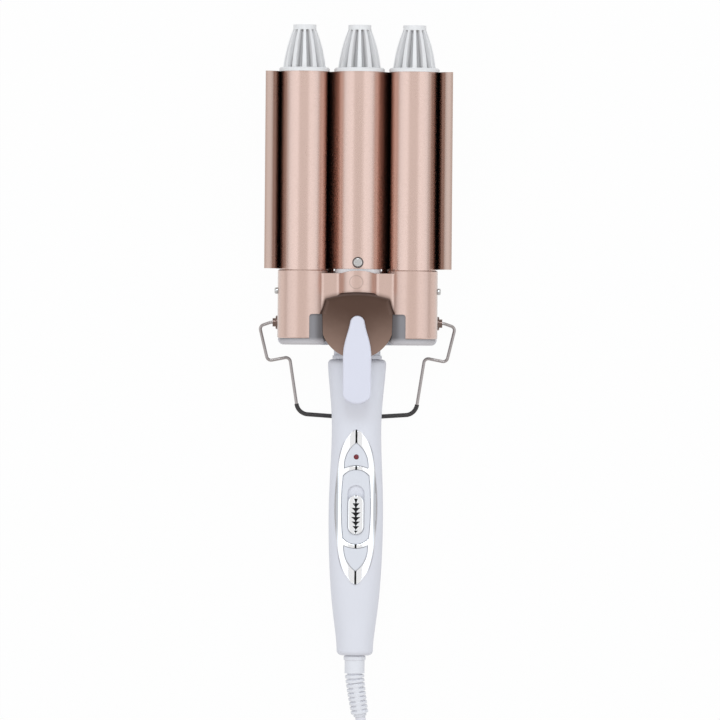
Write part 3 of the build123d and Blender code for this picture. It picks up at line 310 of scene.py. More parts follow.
@dataclass(frozen=True)
class CapMoulding(Moulding):
    """Moulding of the fluted caps, with painted shade that greys it down in the flutes."""

    deep_shade_color: Color = (0.54, 0.53, 0.53)
    foot_y: float = 145.4 * MM
    top_y: float = 165.4 * MM
    foot_radius: float = 11.3 * MM
    slope: float = 0.254
    flute_depth: Pair = (0.7 * MM, 2.6 * MM)

    def shaded(self, graph: Graph, tone: Socket) -> Socket:
        """Colour of the moulding, with painted shade that greys it the deeper a point lies under the ribs'
        outline.

        Args:
            graph: the material's graph.
            tone: the moulding's own colour.

        Returns:
            The colour with the flutes' painted shade in it.
        """
        x, y, z = graph.spot()
        beside = x.absolute()
        across = beside - beside.step(BARREL_PITCH * 0.49, BARREL_PITCH * 0.51) * BARREL_PITCH
        height = z - AXIS_Z
        radius = (across * across + height * height) ** 0.5
        under = (y - self.foot_y) * -self.slope + self.foot_radius - radius
        # Painted shade down in the flutes between the ribs.
        flute_shade = under.step(*self.flute_depth) * y.step(self.foot_y - 0.1 * MM, self.foot_y + 0.3 * MM)
        flute_shade = flute_shade * y.step(self.top_y + 0.6 * MM, self.top_y)
        return graph.mix(flute_shade, tone, self.deep_shade_color)


@dataclass(frozen=True)
class SocketMoulding(Moulding):
    """Moulding of the barrel sockets, with painted shade that is darkest beside the bowl and painted light
    that pales the foot.
    """

    socket_shade_color: Color = (0.15, 0.14, 0.145)
    lit_foot_color: Color = (0.60, 0.57, 0.585)
    socket_shade_x: Pair = (20.0 * MM, 23.5 * MM)
    lit_foot_y: Pair = (1.5 * MM, -2.2 * MM)

    def shaded(self, graph: Graph, tone: Socket) -> Socket:
        """Colour of the moulding with the painted shade on its inner side and the painted light on its foot.

        Args:
            graph: the material's graph.
            tone: the moulding's own colour.

        Returns:
            The colour at the point.
        """
        x, y, _ = graph.spot()
        # Painted shade beside the bowl, painted light round the foot.
        sided = graph.mix(x.absolute().step(*self.socket_shade_x), self.socket_shade_color, tone)
        return graph.mix(y.step(*self.lit_foot_y), sided, self.lit_foot_color)


@dataclass(frozen=True)
class SatinCoat:
    """Sprayed metallic coat: a warm flake base under a soft clear layer, with a very fine orange peel and
    painted shade that darkens it towards its rims.
    """

    name: str
    color: Color
    rim_shade_color: Color
    roughness: float = 0.27
    coat: float = 1.0
    coat_roughness: float = 0.22
    coat_ior: float = 1.8
    coat_in_shade: float = 0.15
    flake: float = 0.8 * MM
    flake_share: float = 0.22
    rim_shade_share: float = 0.8
    gloss_drift: float = 0.04

    def shade_share(self, graph: Graph) -> Value | None:
        """Share of painted shade at a point; the plain coat has none."""
        return None

    def tone(self, graph: Graph, coat: Socket) -> Socket:
        """Colour of the coat at a point; the plain coat keeps one colour everywhere."""
        return coat

    def material(self) -> Material:
        """Builds the material.

        Returns:
            The material.
        """
        graph = Graph(self.name)
        flake = graph.noise(1 / self.flake, 1.0).step(0.3, 0.7)
        cloud = graph.noise(35.0, 3.0, stretch=(1, 0.3, 1))
        peel = graph.noise(900.0)
        rim = graph.node("ShaderNodeLayerWeight", {}, {"Blend": 0.35}).value("Facing")
        # Painted shade: the colour turns to the darker rim colour where the surface faces away from the view.
        share = rim.step(0.25, 0.95) * self.rim_shade_share + flake * self.flake_share - self.flake_share / 2
        gloss = (cloud * 2 - 1) * self.gloss_drift + self.roughness
        dark = self.shade_share(graph)
        return graph.surface(
            {
                "Base Color": self.tone(graph, graph.mix(share, self.color, self.rim_shade_color)),
                "Metallic": 1.0,
                "Roughness": gloss + flake * 0.05,
                "Coat Weight": self.coat if dark is None else dark.between(self.coat, self.coat_in_shade),
                "Coat Roughness": self.coat_roughness,
                "Coat IOR": self.coat_ior,
                "Normal": graph.bump(peel + flake * 0.5, 0.004 * MM),
            }
        )


@dataclass(frozen=True)
class HousingCoat(SatinCoat):
    """The clamp housing's coat, with painted shade in the bowl round the lever: a dark brown, darkest under
    the bump.
    """

    bowl_top_shade: Color = (0.105, 0.058, 0.042)
    bowl_low_shade: Color = (0.33, 0.22, 0.175)
    top_y: float = 25.8 * MM
    arc_radius: float = 54.0 * MM
    side: Pair = (17.9 * MM, 22.9 * MM)
    side_slope: float = 0.27
    softness: float = 2.6 * MM
    fall_y: float = 16.0 * MM
    fall_spread: float = 0.35
    shade_jitter: float = 4.0 * MM
    ring_color: Color = (0.30, 0.20, 0.16)
    ring_share: float = 0.45
    ring_place: Pair = (-0.8 * MM, 30.7 * MM)
    ring_radius: float = 3.5 * MM
    ring_edges: Pair = (0.42 * MM, 0.12 * MM)

    def shade_share(self, graph: Graph) -> Value:
        """Share of the bowl at a point.

        Args:
            graph: the material's graph.

        Returns:
            The share, 1 inside the bowl's outline.
        """
        x, y, _ = graph.spot()
        edges = self.top_y + self.softness / 2, self.top_y - self.softness
        below_arc = ((x * x) / (2 * self.arc_radius) + y).step(*edges)
        side_x, side_y = self.side
        beside = (x.absolute() + (y - side_y) * self.side_slope).step(side_x + 0.5 * MM, side_x - 1.2 * MM)
        return below_arc * beside

    def tone(self, graph: Graph, coat: Socket) -> Socket:
        """Colour of the coat, with painted shade inside the bowl's outline, darkest under the bump.

        Args:
            graph: the material's graph.
            coat: the coat's own colour.

        Returns:
            The colour with the bowl's painted shade in it.
        """
        x, y, _ = graph.spot()
        # Painted shade in the bowl; noise makes its fall-off uneven.
        shade_jitter = graph.noise(220.0, 3.0) * self.shade_jitter - self.shade_jitter / 2
        fall = (y + shade_jitter + x.absolute() * -self.fall_spread).step(self.fall_y, -self.fall_y)
        bowl_shade = graph.mix(fall, self.bowl_top_shade, self.bowl_low_shade)
        ring_x, ring_y = self.ring_place
        across, along = x - ring_x, y - ring_y
        off_ring = ((across * across + along * along) ** 0.5 - self.ring_radius).absolute()
        ringed = graph.mix(off_ring.step(*self.ring_edges) * self.ring_share, coat, self.ring_color)
        return graph.mix(self.shade_share(graph), ringed, bowl_shade)


@dataclass(frozen=True)
class WaveCoat(SatinCoat):
    """The centre barrel's coat, with painted shade on the walls and webs that lie deep beside the barrels."""

    deep_shade_color: Color = (0.17, 0.09, 0.06)
    slope_shade_color: Color = (0.27, 0.17, 0.13)
    lip_shade_color: Color = (0.47, 0.32, 0.26)
    ring_color: Color = (0.02, 0.012, 0.01)
    barrel_radius: float = 12.6 * MM
    deep_height: Pair = (3.0 * MM, -4.0 * MM)
    back_height: Pair = (-14.6 * MM, -13.0 * MM)
    wall_x: float = 42.0 * MM
    lip_x: float = 46.0 * MM
    lip_softness: float = 1.6 * MM
    screw_y: float = 41.2 * MM
    screw_ring: float = 2.9 * MM
    screw_z: Pair = (37.0 * MM, 37.5 * MM)

    def off_barrel(self, graph: Graph) -> Value:
        """Share of the wings at a point.

        Args:
            graph: the material's graph.

        Returns:
            The share, 0 on the round barrel.
        """
        x, _, z = graph.spot()
        height = z - AXIS_Z
        return (x * x + height * height).step(self.barrel_radius ** 2, (self.barrel_radius + 0.6 * MM) ** 2)

    def shade_share(self, graph: Graph) -> Value:
        """Share of the painted shade on the deep walls at a point.

        Args:
            graph: the material's graph.

        Returns:
            The share, 1 off the round barrel, below its middle and on the wings' front side.
        """
        height = graph.spot()[2] - AXIS_Z
        return self.off_barrel(graph) * height.step(*self.deep_height) * height.step(*self.back_height)

    def tone(self, graph: Graph, coat: Socket) -> Socket:
        """Colour of the coat, with painted shade on the deep walls, on the wings' slopes and on their lips,
        and darker round the screw's head.

        Args:
            graph: the material's graph.
            coat: the coat's own colour.

        Returns:
            The colour with the painted shade and the darker ring in it.
        """
        x, y, z = graph.spot()
        beside = x.absolute()
        slope = beside.step(self.lip_x + self.lip_softness, self.lip_x - self.lip_softness)
        slope = slope * beside.step(self.wall_x - 0.3 * MM, self.wall_x) * z.step(AXIS_Z, AXIS_Z + 1 * MM)
        along = y - self.screw_y
        off_screw = (along * along + x * x) ** 0.5
        ring = off_screw.step(self.screw_ring + 0.2 * MM, self.screw_ring) * z.step(*self.screw_z)
        wings = self.off_barrel(graph)
        lip = wings * beside.step(self.lip_x - self.lip_softness, self.lip_x)
        # Painted shade on the wings' slopes and their lips.
        sloped = graph.mix(slope * wings, graph.mix(lip, coat, self.lip_shade_color), self.slope_shade_color)
        # Painted shade on the deep walls and webs beside the barrels.
        deep = graph.mix(self.shade_share(graph), sloped, self.deep_shade_color)
        return graph.mix(ring, deep, self.ring_color)


@dataclass(frozen=True)
class DarkReflectionChrome:
    """Bright plating with a painted dark reflection down its middle and a painted darker reflection on its
    flanks.
    """

    name: str
    color: Color = (0.97, 0.97, 0.98)
    painted_dark_color: Color = (0.02, 0.02, 0.02)
    dark_line_half: float = 0.55 * MM
    roughness: float = 0.10
    flank_reflection_color: Color = (0.46, 0.45, 0.46)
    flank_x: float = 9.0 * MM
    flank_middle_y: float = -88.0 * MM
    flank_half_length: float = 26.0 * MM
    flank_fade: float = 16.0 * MM

    def painted_dark_share(self, graph: Graph) -> Value:
        """Share of the painted dark reflection at a point.

        Args:
            graph: the material's graph.

        Returns:
            The share, from 0 on the plating to 1 in the dark line.
        """
        x, _, _ = graph.spot()
        waver = graph.noise(500.0, 1.0) * 0.2 * MM
        return (x.absolute() + waver).step(self.dark_line_half + 0.15 * MM, self.dark_line_half)

    def material(self) -> Material:
        """Builds the material.

        Returns:
            The material.
        """
        graph = Graph(self.name)
        painted_dark_share = self.painted_dark_share(graph)
        haze = graph.noise(160.0, 3.0)
        marks = graph.noise(2400.0, stretch=(1, 0.1, 1))
        x, y, _ = graph.spot()
        # Painted reflection: a darker band along the frame's flanks.
        band = x.absolute() + graph.noise(90.0, stretch=(1, 0.3, 1)) * 1.2 * MM - 0.6 * MM
        along = (y - self.flank_middle_y).absolute()
        flank_reflection = along.step(self.flank_half_length, self.flank_half_length - self.flank_fade)
        flank_reflection = band.step(self.flank_x, self.flank_x + 0.8 * MM) * flank_reflection
        plating = graph.mix(flank_reflection, graph.mottled(haze, self.color, 0.97), self.flank_reflection_color)
        return graph.surface(
            {
                "Base Color": graph.mix(painted_dark_share, plating, self.painted_dark_color),
                "Metallic": 1.0,
                "Roughness": haze * 0.05 + painted_dark_share * 0.3 + (self.roughness - 0.02),
                "Normal": graph.bump(marks, 0.0008 * MM),
            }
        )


@dataclass(frozen=True)
class Notches:
    """The notches along the slide button, which widen towards its middle."""

    middle_y: float = -93.6 * MM
    half_length: float = 10.6 * MM
    pitch: float = 2.45 * MM
    widest: float = 2.5 * MM
    narrowest: float = 0.35 * MM
    foot_share: float = 0.18
    flare: float = 0.8
    relief: float = 0.12 * MM

    def edge(self, y: Value | float) -> Value | float:
        """Half width of the notches; it takes plain numbers and shader values.

        Args:
            y: place along, from the button's middle.

        Returns:
            The half width, in metres.
        """
        along = y / self.half_length
        reach = (1 - along * along) * self.widest + self.narrowest
        tooth = (y / self.pitch + 0.5) % 1.0
        return reach * (tooth * tooth * self.flare + self.foot_share) - self.relief


@dataclass(frozen=True)
class RidgedChrome(DarkReflectionChrome):
    """Plating of the slide button, with painted shade in its notches, which narrow towards the foot of each
    ridge.
    """

    notches: Notches = Notches()

    def painted_dark_share(self, graph: Graph) -> Value:
        """Share of the notches' painted shade at a point."""
        x, y, _ = graph.spot()
        return (x.absolute() - self.notches.edge(y - self.notches.middle_y)).step(0.18 * MM, -0.12 * MM)


@dataclass(frozen=True)
class Plated:
    """Plated or drawn metal, with faint marks along one direction."""

    name: str
    color: Color
    roughness: float = 0.12
    marks: float = 0.05
    grain: Point = (1, 1, 1)

    def material(self) -> Material:
        """Builds the material.

        Returns:
            The material.
        """
        graph = Graph(self.name)
        lines = graph.noise(1500.0, stretch=self.grain)
        cloud = graph.noise(90.0)
        return graph.surface(
            {
                "Base Color": graph.mottled(cloud, self.color, 0.94),
                "Metallic": 1.0,
                "Roughness": lines * self.marks + cloud * 0.04 + (self.roughness - 0.04),
                "Normal": graph.bump(lines, 0.0015 * MM),
            }
        )


@dataclass(frozen=True)
class Jacket:
    """Flexible sleeve or cord jacket: extruded, matt, with faint lengthwise streaks."""

    name: str
    color: Color
    roughness: float = 0.5
    depth: float = 0.012 * MM

    def material(self) -> Material:
        """Builds the material.

        Returns:
            The material.
        """
        graph = Graph(self.name)
        skin = graph.noise(1400.0, 3.0)
        cloud = graph.noise(45.0)
        return graph.surface(
            {
                "Base Color": graph.mottled(cloud, self.color, 0.95),
                "Roughness": skin.between(self.roughness - 0.06, self.roughness + 0.06),
                "Normal": graph.bump(skin, self.depth),
            }
        )


@dataclass(frozen=True)
class TintedLens:
    """Small tinted lens, glossy under a clear coat, its tint uneven."""

    name: str
    color: Color

    def material(self) -> Material:
        """Builds the material.

        Returns:
            The material.
        """
        graph = Graph(self.name)
        cloud = graph.noise(700.0)
        return graph.surface(
            {
                "Base Color": graph.mottled(cloud, self.color, 0.6),
                "Roughness": cloud.between(0.06, 0.16),
                "Coat Weight": 0.6,
                "Coat Roughness": 0.05,
            }
        )


class Finishes:
    """Every finish of the waver and the CAD nodes dressed in it."""

    ROSE_GOLD: Color = (0.67, 0.465, 0.395)
    # Painted shade of the rose gold coat at its rims.
    ROSE_GOLD_RIM_SHADE: Color = (0.47, 0.30, 0.22)
    WORN_BY: dict[object, tuple[str, ...]] = {
        Moulding("satin_white", (0.755, 0.755, 0.81), 0.46): (
            "handle_front_shell", "handle_rear_shell", "rear_housing", "jaw_frame",
        ),
        Moulding("gloss_white", (0.72, 0.72, 0.81), 0.34, depth=0.004 * MM): ("thumb_lever",),
        CapMoulding("heatproof_cap", (0.80, 0.79, 0.79), 0.42, depth=0.006 * MM): (
            "centre_cap", "left_cap", "right_cap",
        ),
        Moulding("window_white", (0.73, 0.74, 0.79), 0.16, depth=0.002 * MM): (
            "upper_window", "lower_window", "switch_plate",
        ),
        Moulding("heatproof_white", (0.82, 0.80, 0.81), 0.55): ("insulating_ring",),
        WaveCoat("rose_gold_wave", ROSE_GOLD, ROSE_GOLD_RIM_SHADE): ("centre_barrel",),
        SatinCoat("rose_gold_barrel", ROSE_GOLD, ROSE_GOLD_RIM_SHADE): ("left_barrel", "right_barrel"),
        # The housing's second colour is its painted rim shade.
        HousingCoat("rose_gold_housing", (0.64, 0.44, 0.37), (0.40, 0.255, 0.185), roughness=0.34): (
            "clamp_housing",
        ),
        # The sockets' grey tone is painted shade over a paler plastic.
        SocketMoulding("socket_grey", (0.26, 0.25, 0.265), 0.50): (
            "left_barrel_socket", "right_barrel_socket",
        ),
        DarkReflectionChrome("chrome_dark_reflection"): ("bezel_frame",),
        RidgedChrome("ridged_chrome"): ("slide_button",),
        Plated("bush_bronze", (0.20, 0.14, 0.12), 0.22, 0.08): ("stand_bushes",),
        Plated("drawn_steel", (0.42, 0.38, 0.37), 0.20, 0.12, (0.05, 1, 1)): (
            "stand_wire", "hinge_pin", "torsion_spring",
        ),
        Plated("screw_steel", (0.62, 0.61, 0.60), 0.24, 0.14): (
            "hinge_clips", "housing_screws", "handle_screws", "board_screws", "lever_screws", "side_screws",
            "centre_barrel_screw",
        ),
        Plated("pin_nickel", (0.72, 0.70, 0.66), 0.16, 0.08): ("plug_pins",),
        Jacket("dark_sleeve", (0.035, 0.03, 0.03), 0.55): ("stand_sleeve",),
        Moulding("dark_plastic", (0.05, 0.045, 0.045), 0.5): ("switch_body", "contact_block"),
        TintedLens("lamp_red", (0.20, 0.0, 0.012)): ("indicator_lens", "indicator_lamp"),
        Moulding("board_green", (0.04, 0.16, 0.07), 0.35): ("circuit_board",),
        Jacket("silicone_lead", (0.72, 0.70, 0.64), 0.5): ("heater_leads",),
        Moulding("heater_ceramic", (0.80, 0.77, 0.72), 0.7): ("centre_heater", "left_heater", "right_heater"),
        Plated("extruded_aluminium", (0.70, 0.70, 0.72), 0.35, 0.15, (1, 0.03, 1)): (
            "centre_heat_spreader", "left_heat_spreader", "right_heat_spreader",
        ),
        Plated("contact_brass", (0.62, 0.45, 0.20), 0.25, 0.1): ("contact_springs", "swivel_rings"),
        Jacket("cord_white", (0.80, 0.80, 0.84), 0.45): ("swivel_sleeve", "strain_relief", "plug_body"),
        Jacket("tie_black", (0.02, 0.02, 0.02), 0.6): ("coil_ties",),
    }

    def __init__(self) -> None:
        """Builds each material once."""
        self.by_name: dict[str, Material] = {}

    def dress_frame(self) -> None:
        """Puts the finishes on the CAD nodes."""
        for finish, nodes in self.WORN_BY.items():
            material = finish.material()
            self.by_name[finish.name] = material
            for node in nodes:
                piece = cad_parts[node]
                piece.data.materials.clear()
                piece.data.materials.append(material)
            log.info("finish %s on %s", finish.name, ", ".join(nodes))


# -------------------------------- pieces
def in_scene(name: str, data: bpy.types.ID) -> Object:
    """Puts a new object into the scene.

    Args:
        name: the object's name.
        data: its mesh, curve, lamp or camera.

    Returns:
        The object.
    """
    made = bpy.data.objects.new(name, data)
    bpy.context.scene.collection.objects.link(made)
    return made


def ease(low: float, high: float, number: float) -> float:
    """Smooth step of a plain number.

    Args:
        low: the number that gives 0.
        high: the number that gives 1.
        number: the number itself.

    Returns:
        The eased share.
    """
    share = min(max((number - low) / (high - low), 0.0), 1.0)
    return share * share * (3 - 2 * share)


@dataclass
class Piece:
    """A piece made in mesh code in place of plainer CAD nodes."""

    name: str
    body: Body
    slot: str
    replaced: tuple[str, ...]

    def shape(self) -> Form:
        """Makes the piece's mesh."""
        raise NotImplementedError

    def build(self, finish: Material) -> Object:
        """Makes the piece, lets it ride on its body and puts it in the nodes' place.

        Args:
            finish: the piece's material.

        Returns:
            The finished object.
        """
        form = self.shape()
        bmesh.ops.recalc_face_normals(form, faces=form.faces)
        mesh = bpy.data.meshes.new(self.name)
        form.to_mesh(mesh)
        form.free()
        mesh.shade_smooth()
        mesh.materials.append(finish)
        piece = in_scene(self.name, mesh)
        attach(piece, self.body.value)
        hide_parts(*self.replaced)
        log.info("piece %s: %d faces", self.name, len(mesh.polygons))
        return piece


def skin_loops(form: Form, loops: Sequence[Sequence[Point]]) -> None:
    """Joins closed loops of equal length with quads and caps both ends.

    Args:
        form: the mesh that takes the faces.
        loops: the loops in order, each a closed ring of points.
    """
    rings = [[form.verts.new(point) for point in loop] for loop in loops]
    count = len(rings[0])
    for here, beyond in zip(rings, rings[1:]):
        for i in range(count):
            j = (i + 1) % count
            form.faces.new((here[i], here[j], beyond[j], beyond[i]))
    form.faces.new(rings[0])
    form.faces.new(rings[-1])


@dataclass
class Boot(Piece):
    """The cord's boot: full rings next to its sleeve, then ribs joined by a spine in front and behind."""

    path: tuple[Point, Point, Point] = (
        (0.0, -178.9 * MM, 14.2 * MM), (0.0, -183.0 * MM, 14.2 * MM), (3.2 * MM, -201.8 * MM, 11.9 * MM),
    )
    ring_count: int = 9
    first_ring: float = 0.068
    ring_pitch: float = 0.104
    ring_radii: Pair = (5.2 * MM, 4.6 * MM)
    core_radii: Pair = (3.9 * MM, 3.45 * MM)
    ring_edges: Pair = (0.43, 0.27)
    full_rings: float = 1.5
    spine_edges: Pair = (0.90, 0.97)
    spine_share: float = 0.92
    stations: int = 150
    around: int = 96

    def middle(self, share: float) -> tuple[Vector, Vector]:
        """Point and direction of the boot's middle line.

        Args:
            share: the place along it, from 0 to 1.

        Returns:
            The point, and the unit direction towards the cord.
        """
        start, bend, end = (Vector(point) for point in self.path)
        first, second = (bend - start).length, (end - bend).length
        curve = second - first
        time = (math.sqrt(first * first + curve * (first + second) * share) - first) / curve
        point = start * (1 - time) ** 2 + bend * 2 * time * (1 - time) + end * time ** 2
        return point, ((bend - start) * (1 - time) + (end - bend) * time).normalized()

    def radius(self, share: float, facing: float) -> float:
        """Radius of the boot.

        Args:
            share: the place along it.
            facing: how far the side faces front or back, from 0 to 1.

        Returns:
            The radius, in metres.
        """
        phase = (share - self.first_ring) / self.ring_pitch
        nearest = min(max(round(phase), 0), self.ring_count - 1)
        rise = ease(*self.ring_edges, abs(phase - nearest))
        if self.full_rings < phase < self.ring_count - 1:
            rise = max(rise, self.spine_share * ease(*self.spine_edges, facing))
        ring, core = (near + (far - near) * share for near, far in (self.ring_radii, self.core_radii))
        return core + (ring - core) * rise

    def shape(self) -> Form:
        """Sweeps the ribbed section along the middle line.

        Returns:
            The boot's mesh.
        """
        loops = []
        for i in range(self.stations + 1):
            share = i / self.stations
            point, along = self.middle(share)
            across = along.cross(Vector((0, 0, 1))).normalized()
            front = across.cross(along)
            loop = []
            for j in range(self.around):
                angle = math.tau * j / self.around
                radius = self.radius(share, abs(math.sin(angle)))
                loop.append(point + (across * math.cos(angle) + front * math.sin(angle)) * radius)
            loops.append(loop)
        form = bmesh.new()
        skin_loops(form, loops)
        return form


@dataclass
class SwitchButton(Piece):
    """The slide switch's button: a rounded capsule with notches that widen towards its middle."""

    notches: Notches = Notches()
    half_width: float = 4.25 * MM
    foot_z: float = 23.85 * MM
    top_z: float = 26.2 * MM
    edge: float = 0.7 * MM
    crown: float = 0.25 * MM
    notch_depth: float = 0.45 * MM
    notch_softness: Pair = (0.25 * MM, -0.20 * MM)
    straight_points: int = 64
    round_points: int = 24
    inset_step: float = 0.12 * MM

    def outline(self, inset: float) -> list[Pair]:
        """Points of the capsule's outline.

        Args:
            inset: how far the outline is moved in.

        Returns:
            The points, across and along from the middle.
        """
        reach = self.notches.half_length - self.half_width
        radius = self.half_width - inset
        points = []
        for side in (1, -1):
            for i in range(self.straight_points):
                points.append((side * radius, side * reach * (2 * i / self.straight_points - 1)))
            for i in range(self.round_points):
                angle = math.pi * i / self.round_points
                points.append((side * radius * math.cos(angle), side * (reach + radius * math.sin(angle))))
        return points

    def height(self, inset: float, x: float, y: float) -> float:
        """Height of the button's top.

        Args:
            inset: distance in from the outline.
            x: place across.
            y: place along, from the middle.

        Returns:
            The height, in metres.
        """
        short = max(self.edge - inset, 0.0)
        rounding = self.edge - math.sqrt(self.edge ** 2 - short ** 2)
        dome = self.crown * (x / self.half_width) ** 2
        notch = ease(*self.notch_softness, abs(x) - self.notches.edge(y))
        return self.top_z - rounding - dome - self.notch_depth * notch

    def shape(self) -> Form:
        """Stacks rings up the side and inwards over the top.

        Returns:
            The button's mesh.
        """
        middle = self.notches.middle_y
        loops = [[(x, middle + y, self.foot_z) for x, y in self.outline(0.0)]]
        for i in range(int(self.half_width / self.inset_step)):
            inset = i * self.inset_step
            loops.append([(x, middle + y, self.height(inset, x, y)) for x, y in self.outline(inset)])
        form = bmesh.new()
        skin_loops(form, loops)
        return form


@dataclass
class Bezel(Piece):
    """The panel's plated frame: a pointed oval with rounded edges, laid over the handle's curve."""

    half_size: Pair = (11.45 * MM, 41.5 * MM)
    middle_y: float = -89.5 * MM
    oval: tuple[Pair, ...] = (
        (0.0, 1.0), (0.2, 0.978), (0.336, 0.935), (0.555, 0.845), (0.74, 0.70), (0.873, 0.5), (0.965, 0.25),
        (1.0, 0.0),
    )
    window: tuple[Pair, ...] = ((0.0, 34.2), (3.95, 30.0), (6.2, 20.9))
    window_arch: float = 22.3
    plate_corner: Pair = (6.8, 16.5)
    plate_reach: Pair = (7.7, 19.8)
    gap: float = 0.2
    edge: float = 0.45 * MM
    slab: float = 0.3 * MM
    rise: float = 0.6 * MM
    handle_axis_z: float = 14.2 * MM
    end_depth: float = 10.4 * MM
    slices: float = 0.9 * MM
    arc_points: int = 28
    oval_points: int = 8

    def arc(self, start: Sequence[float], middle: Sequence[float], end: Sequence[float]) -> list[Vector]:
        """Points of the arc through three points, without the last.

        Args:
            start: its first point.
            middle: a point on it.
            end: its last point.

        Returns:
            The points.
        """
        a, b, c = Vector(start), Vector(middle), Vector(end)
        u, v = a - c, b - c
        left, right = a.dot(a) - c.dot(c), b.dot(b) - c.dot(c)
        centre = Vector((left * v.y - right * u.y, right * u.x - left * v.x)) / (2 * (u.x * v.y - v.x * u.y))
        radius = (a - centre).length
        first, half, last = (math.atan2(p.y - centre.y, p.x - centre.x) for p in (a, b, c))
        sweep = (last - first) % math.tau
        if (half - first) % math.tau >= sweep:
            sweep -= math.tau
        angles = [first + sweep * i / self.arc_points for i in range(self.arc_points)]
        return [centre + Vector((math.cos(angle), math.sin(angle))) * radius for angle in angles]

    def arcs(self, marks: Sequence[Sequence[float]]) -> list[Vector]:
        """Outline, in metres, of arcs whose starts and middles alternate in the marks, in millimetres."""
        return [point * MM for i in range(0, len(marks) - 2, 2) for point in self.arc(*marks[i : i + 3])]

    def outer(self) -> list[Vector]:
        """The pointed oval, smoothed through its given points.

        Returns:
            The outline's points.
        """
        quarter = [Vector((x * self.half_size[0], y * self.half_size[1])) for x, y in self.oval]
        lower = [Vector((p.x, -p.y)) for p in reversed(quarter[:-1])]
        chain = quarter + lower
        points = []
        for i in range(len(chain) - 1):
            before = chain[i - 1] if i else chain[0] * 2 - chain[1]
            after = chain[i + 2] if i + 2 < len(chain) else chain[-1] * 2 - chain[-2]
            for k in range(self.oval_points):
                t = k / self.oval_points
                here, beyond = chain[i], chain[i + 1]
                points.append(
                    (here * 2 + (beyond - before) * t + (before * 2 - here * 5 + beyond * 4 - after) * t * t
                     + (here * 3 - before - beyond * 3 + after) * t ** 3) / 2
                )
        return points + [Vector((-p.x, p.y)) for p in [chain[-1], *reversed(points[1:])]]

    def holes(self) -> list[list[Vector]]:
        """Outlines of both windows and the switch plate, a little larger than what sits in them.

        Returns:
            The three outlines.
        """
        (_, apex_y), (flank_x, flank_y), (corner_x, corner_y) = self.window
        apex = (0.0, apex_y + self.gap)
        flank_x, corner_x, corner_y = flank_x + self.gap, corner_x + self.gap, corner_y - self.gap
        foot = (0.0, self.window_arch - self.gap)
        right, left = ([(x, flank_y), (c, corner_y)] for x, c in ((flank_x, corner_x), (-flank_x, -corner_x)))
        window = self.arcs([apex, *right, foot, *reversed(left), apex])
        x, y = (c + self.gap for c in self.plate_corner)
        side, top = (c + self.gap for c in self.plate_reach)
        plate = self.arcs(
            [(-x, y), (0, top), (x, y), (side, 0), (x, -y), (0, -top), (-x, -y), (-side, 0), (-x, y)]
        )
        return [window, [-point for point in window], plate]

    @cached_property
    def shells(self) -> tuple[BVHTree, BVHTree]:
        """Trees for measuring by rays.

        Returns:
            The handle's front shell, and the plain bezel of the solids.
        """
        depsgraph = bpy.context.evaluated_depsgraph_get()
        front = BVHTree.FromObject(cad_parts["handle_front_shell"], depsgraph)
        return front, BVHTree.FromObject(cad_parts["bezel_frame"], depsgraph)

    def handle_halves(self, y: float) -> Pair:
        """Half width and half depth of the handle's skin.

        Args:
            y: place along.

        Returns:
            Both, in metres.
        """
        front, plain = self.shells
        side, *_ = front.ray_cast(Vector((0.1, y, self.handle_axis_z + 0.3 * MM)), Vector((-1, 0, 0)))
        width = side.x
        reach = abs(y - self.middle_y) / self.half_size[1]
        x = self.half_size[0] * 0.9 * math.sqrt(max(1 - reach ** 2, 0.0)) * (1 - 0.35 * reach)
        over, normal, *_ = plain.ray_cast(Vector((x, y, 0.1)), Vector((0, 0, -1)))
        if over is None or normal.z < 0.5:
            return width, self.end_depth
        height = (over.z - self.handle_axis_z) / math.sqrt(1 - (x / (width + self.rise)) ** 2)
        return width, height - self.rise

    def surface_z(self, x: float, y: float) -> Pair:
        """Height of the handle's skin.

        Args:
            x: place across.
            y: place along.

        Returns:
            The height, and how steeply a small rise along the normal shows upwards.
        """
        width, depth = self.handle_halves(y)
        lift = depth * math.sqrt(1 - (x / width) ** 2)
        normal = Vector((x / width ** 2, lift / depth ** 2)).normalized()
        return self.handle_axis_z + lift, 1 / normal.y

    def shape(self) -> Form:
        """Rounds the flat frame's edges, slices it finely and bends it over the handle.

        Returns:
            The bezel's mesh.
        """
        curve = bpy.data.curves.new("bezel_outline", "CURVE")
        curve.dimensions = "2D"
        curve.fill_mode = "BOTH"
        curve.bevel_depth = self.edge
        curve.bevel_resolution = 4
        curve.extrude = self.slab
        curve.offset = -self.edge
        for outline in (self.outer(), *self.holes()):
            spline = curve.splines.new("POLY")
            spline.points.add(len(outline) - 1)
            for point, place in zip(spline.points, outline):
                point.co = (place.x, place.y, 0.0, 1.0)
            spline.use_cyclic_u = True
        flat = in_scene("bezel_outline", curve)
        depsgraph = bpy.context.evaluated_depsgraph_get()
        mesh = bpy.data.meshes.new_from_object(flat.evaluated_get(depsgraph))
        bpy.data.objects.remove(flat)
        form = bmesh.new()
        form.from_mesh(mesh)
        bpy.data.meshes.remove(mesh)
        bmesh.ops.remove_doubles(form, verts=form.verts, dist=0.005 * MM)
        for axis, reach in enumerate(self.half_size):
            facing = Vector((1 - axis, axis, 0))
            step = self.slices * (1 + 2 * axis)
            for i in range(-int(reach / step), int(reach / step) + 1):
                every, place = [*form.verts, *form.edges, *form.faces], facing * i * step
                bmesh.ops.bisect_plane(form, geom=every, dist=0.002 * MM, plane_co=place, plane_no=facing)
        top = max(vert.co.z for vert in form.verts)
        for vert in form.verts:
            x, y = vert.co.x, vert.co.y + self.middle_y
            height, steepness = self.surface_z(x, y)
            vert.co = (x, y, height + (vert.co.z - top + self.rise) * steepness)
        return form


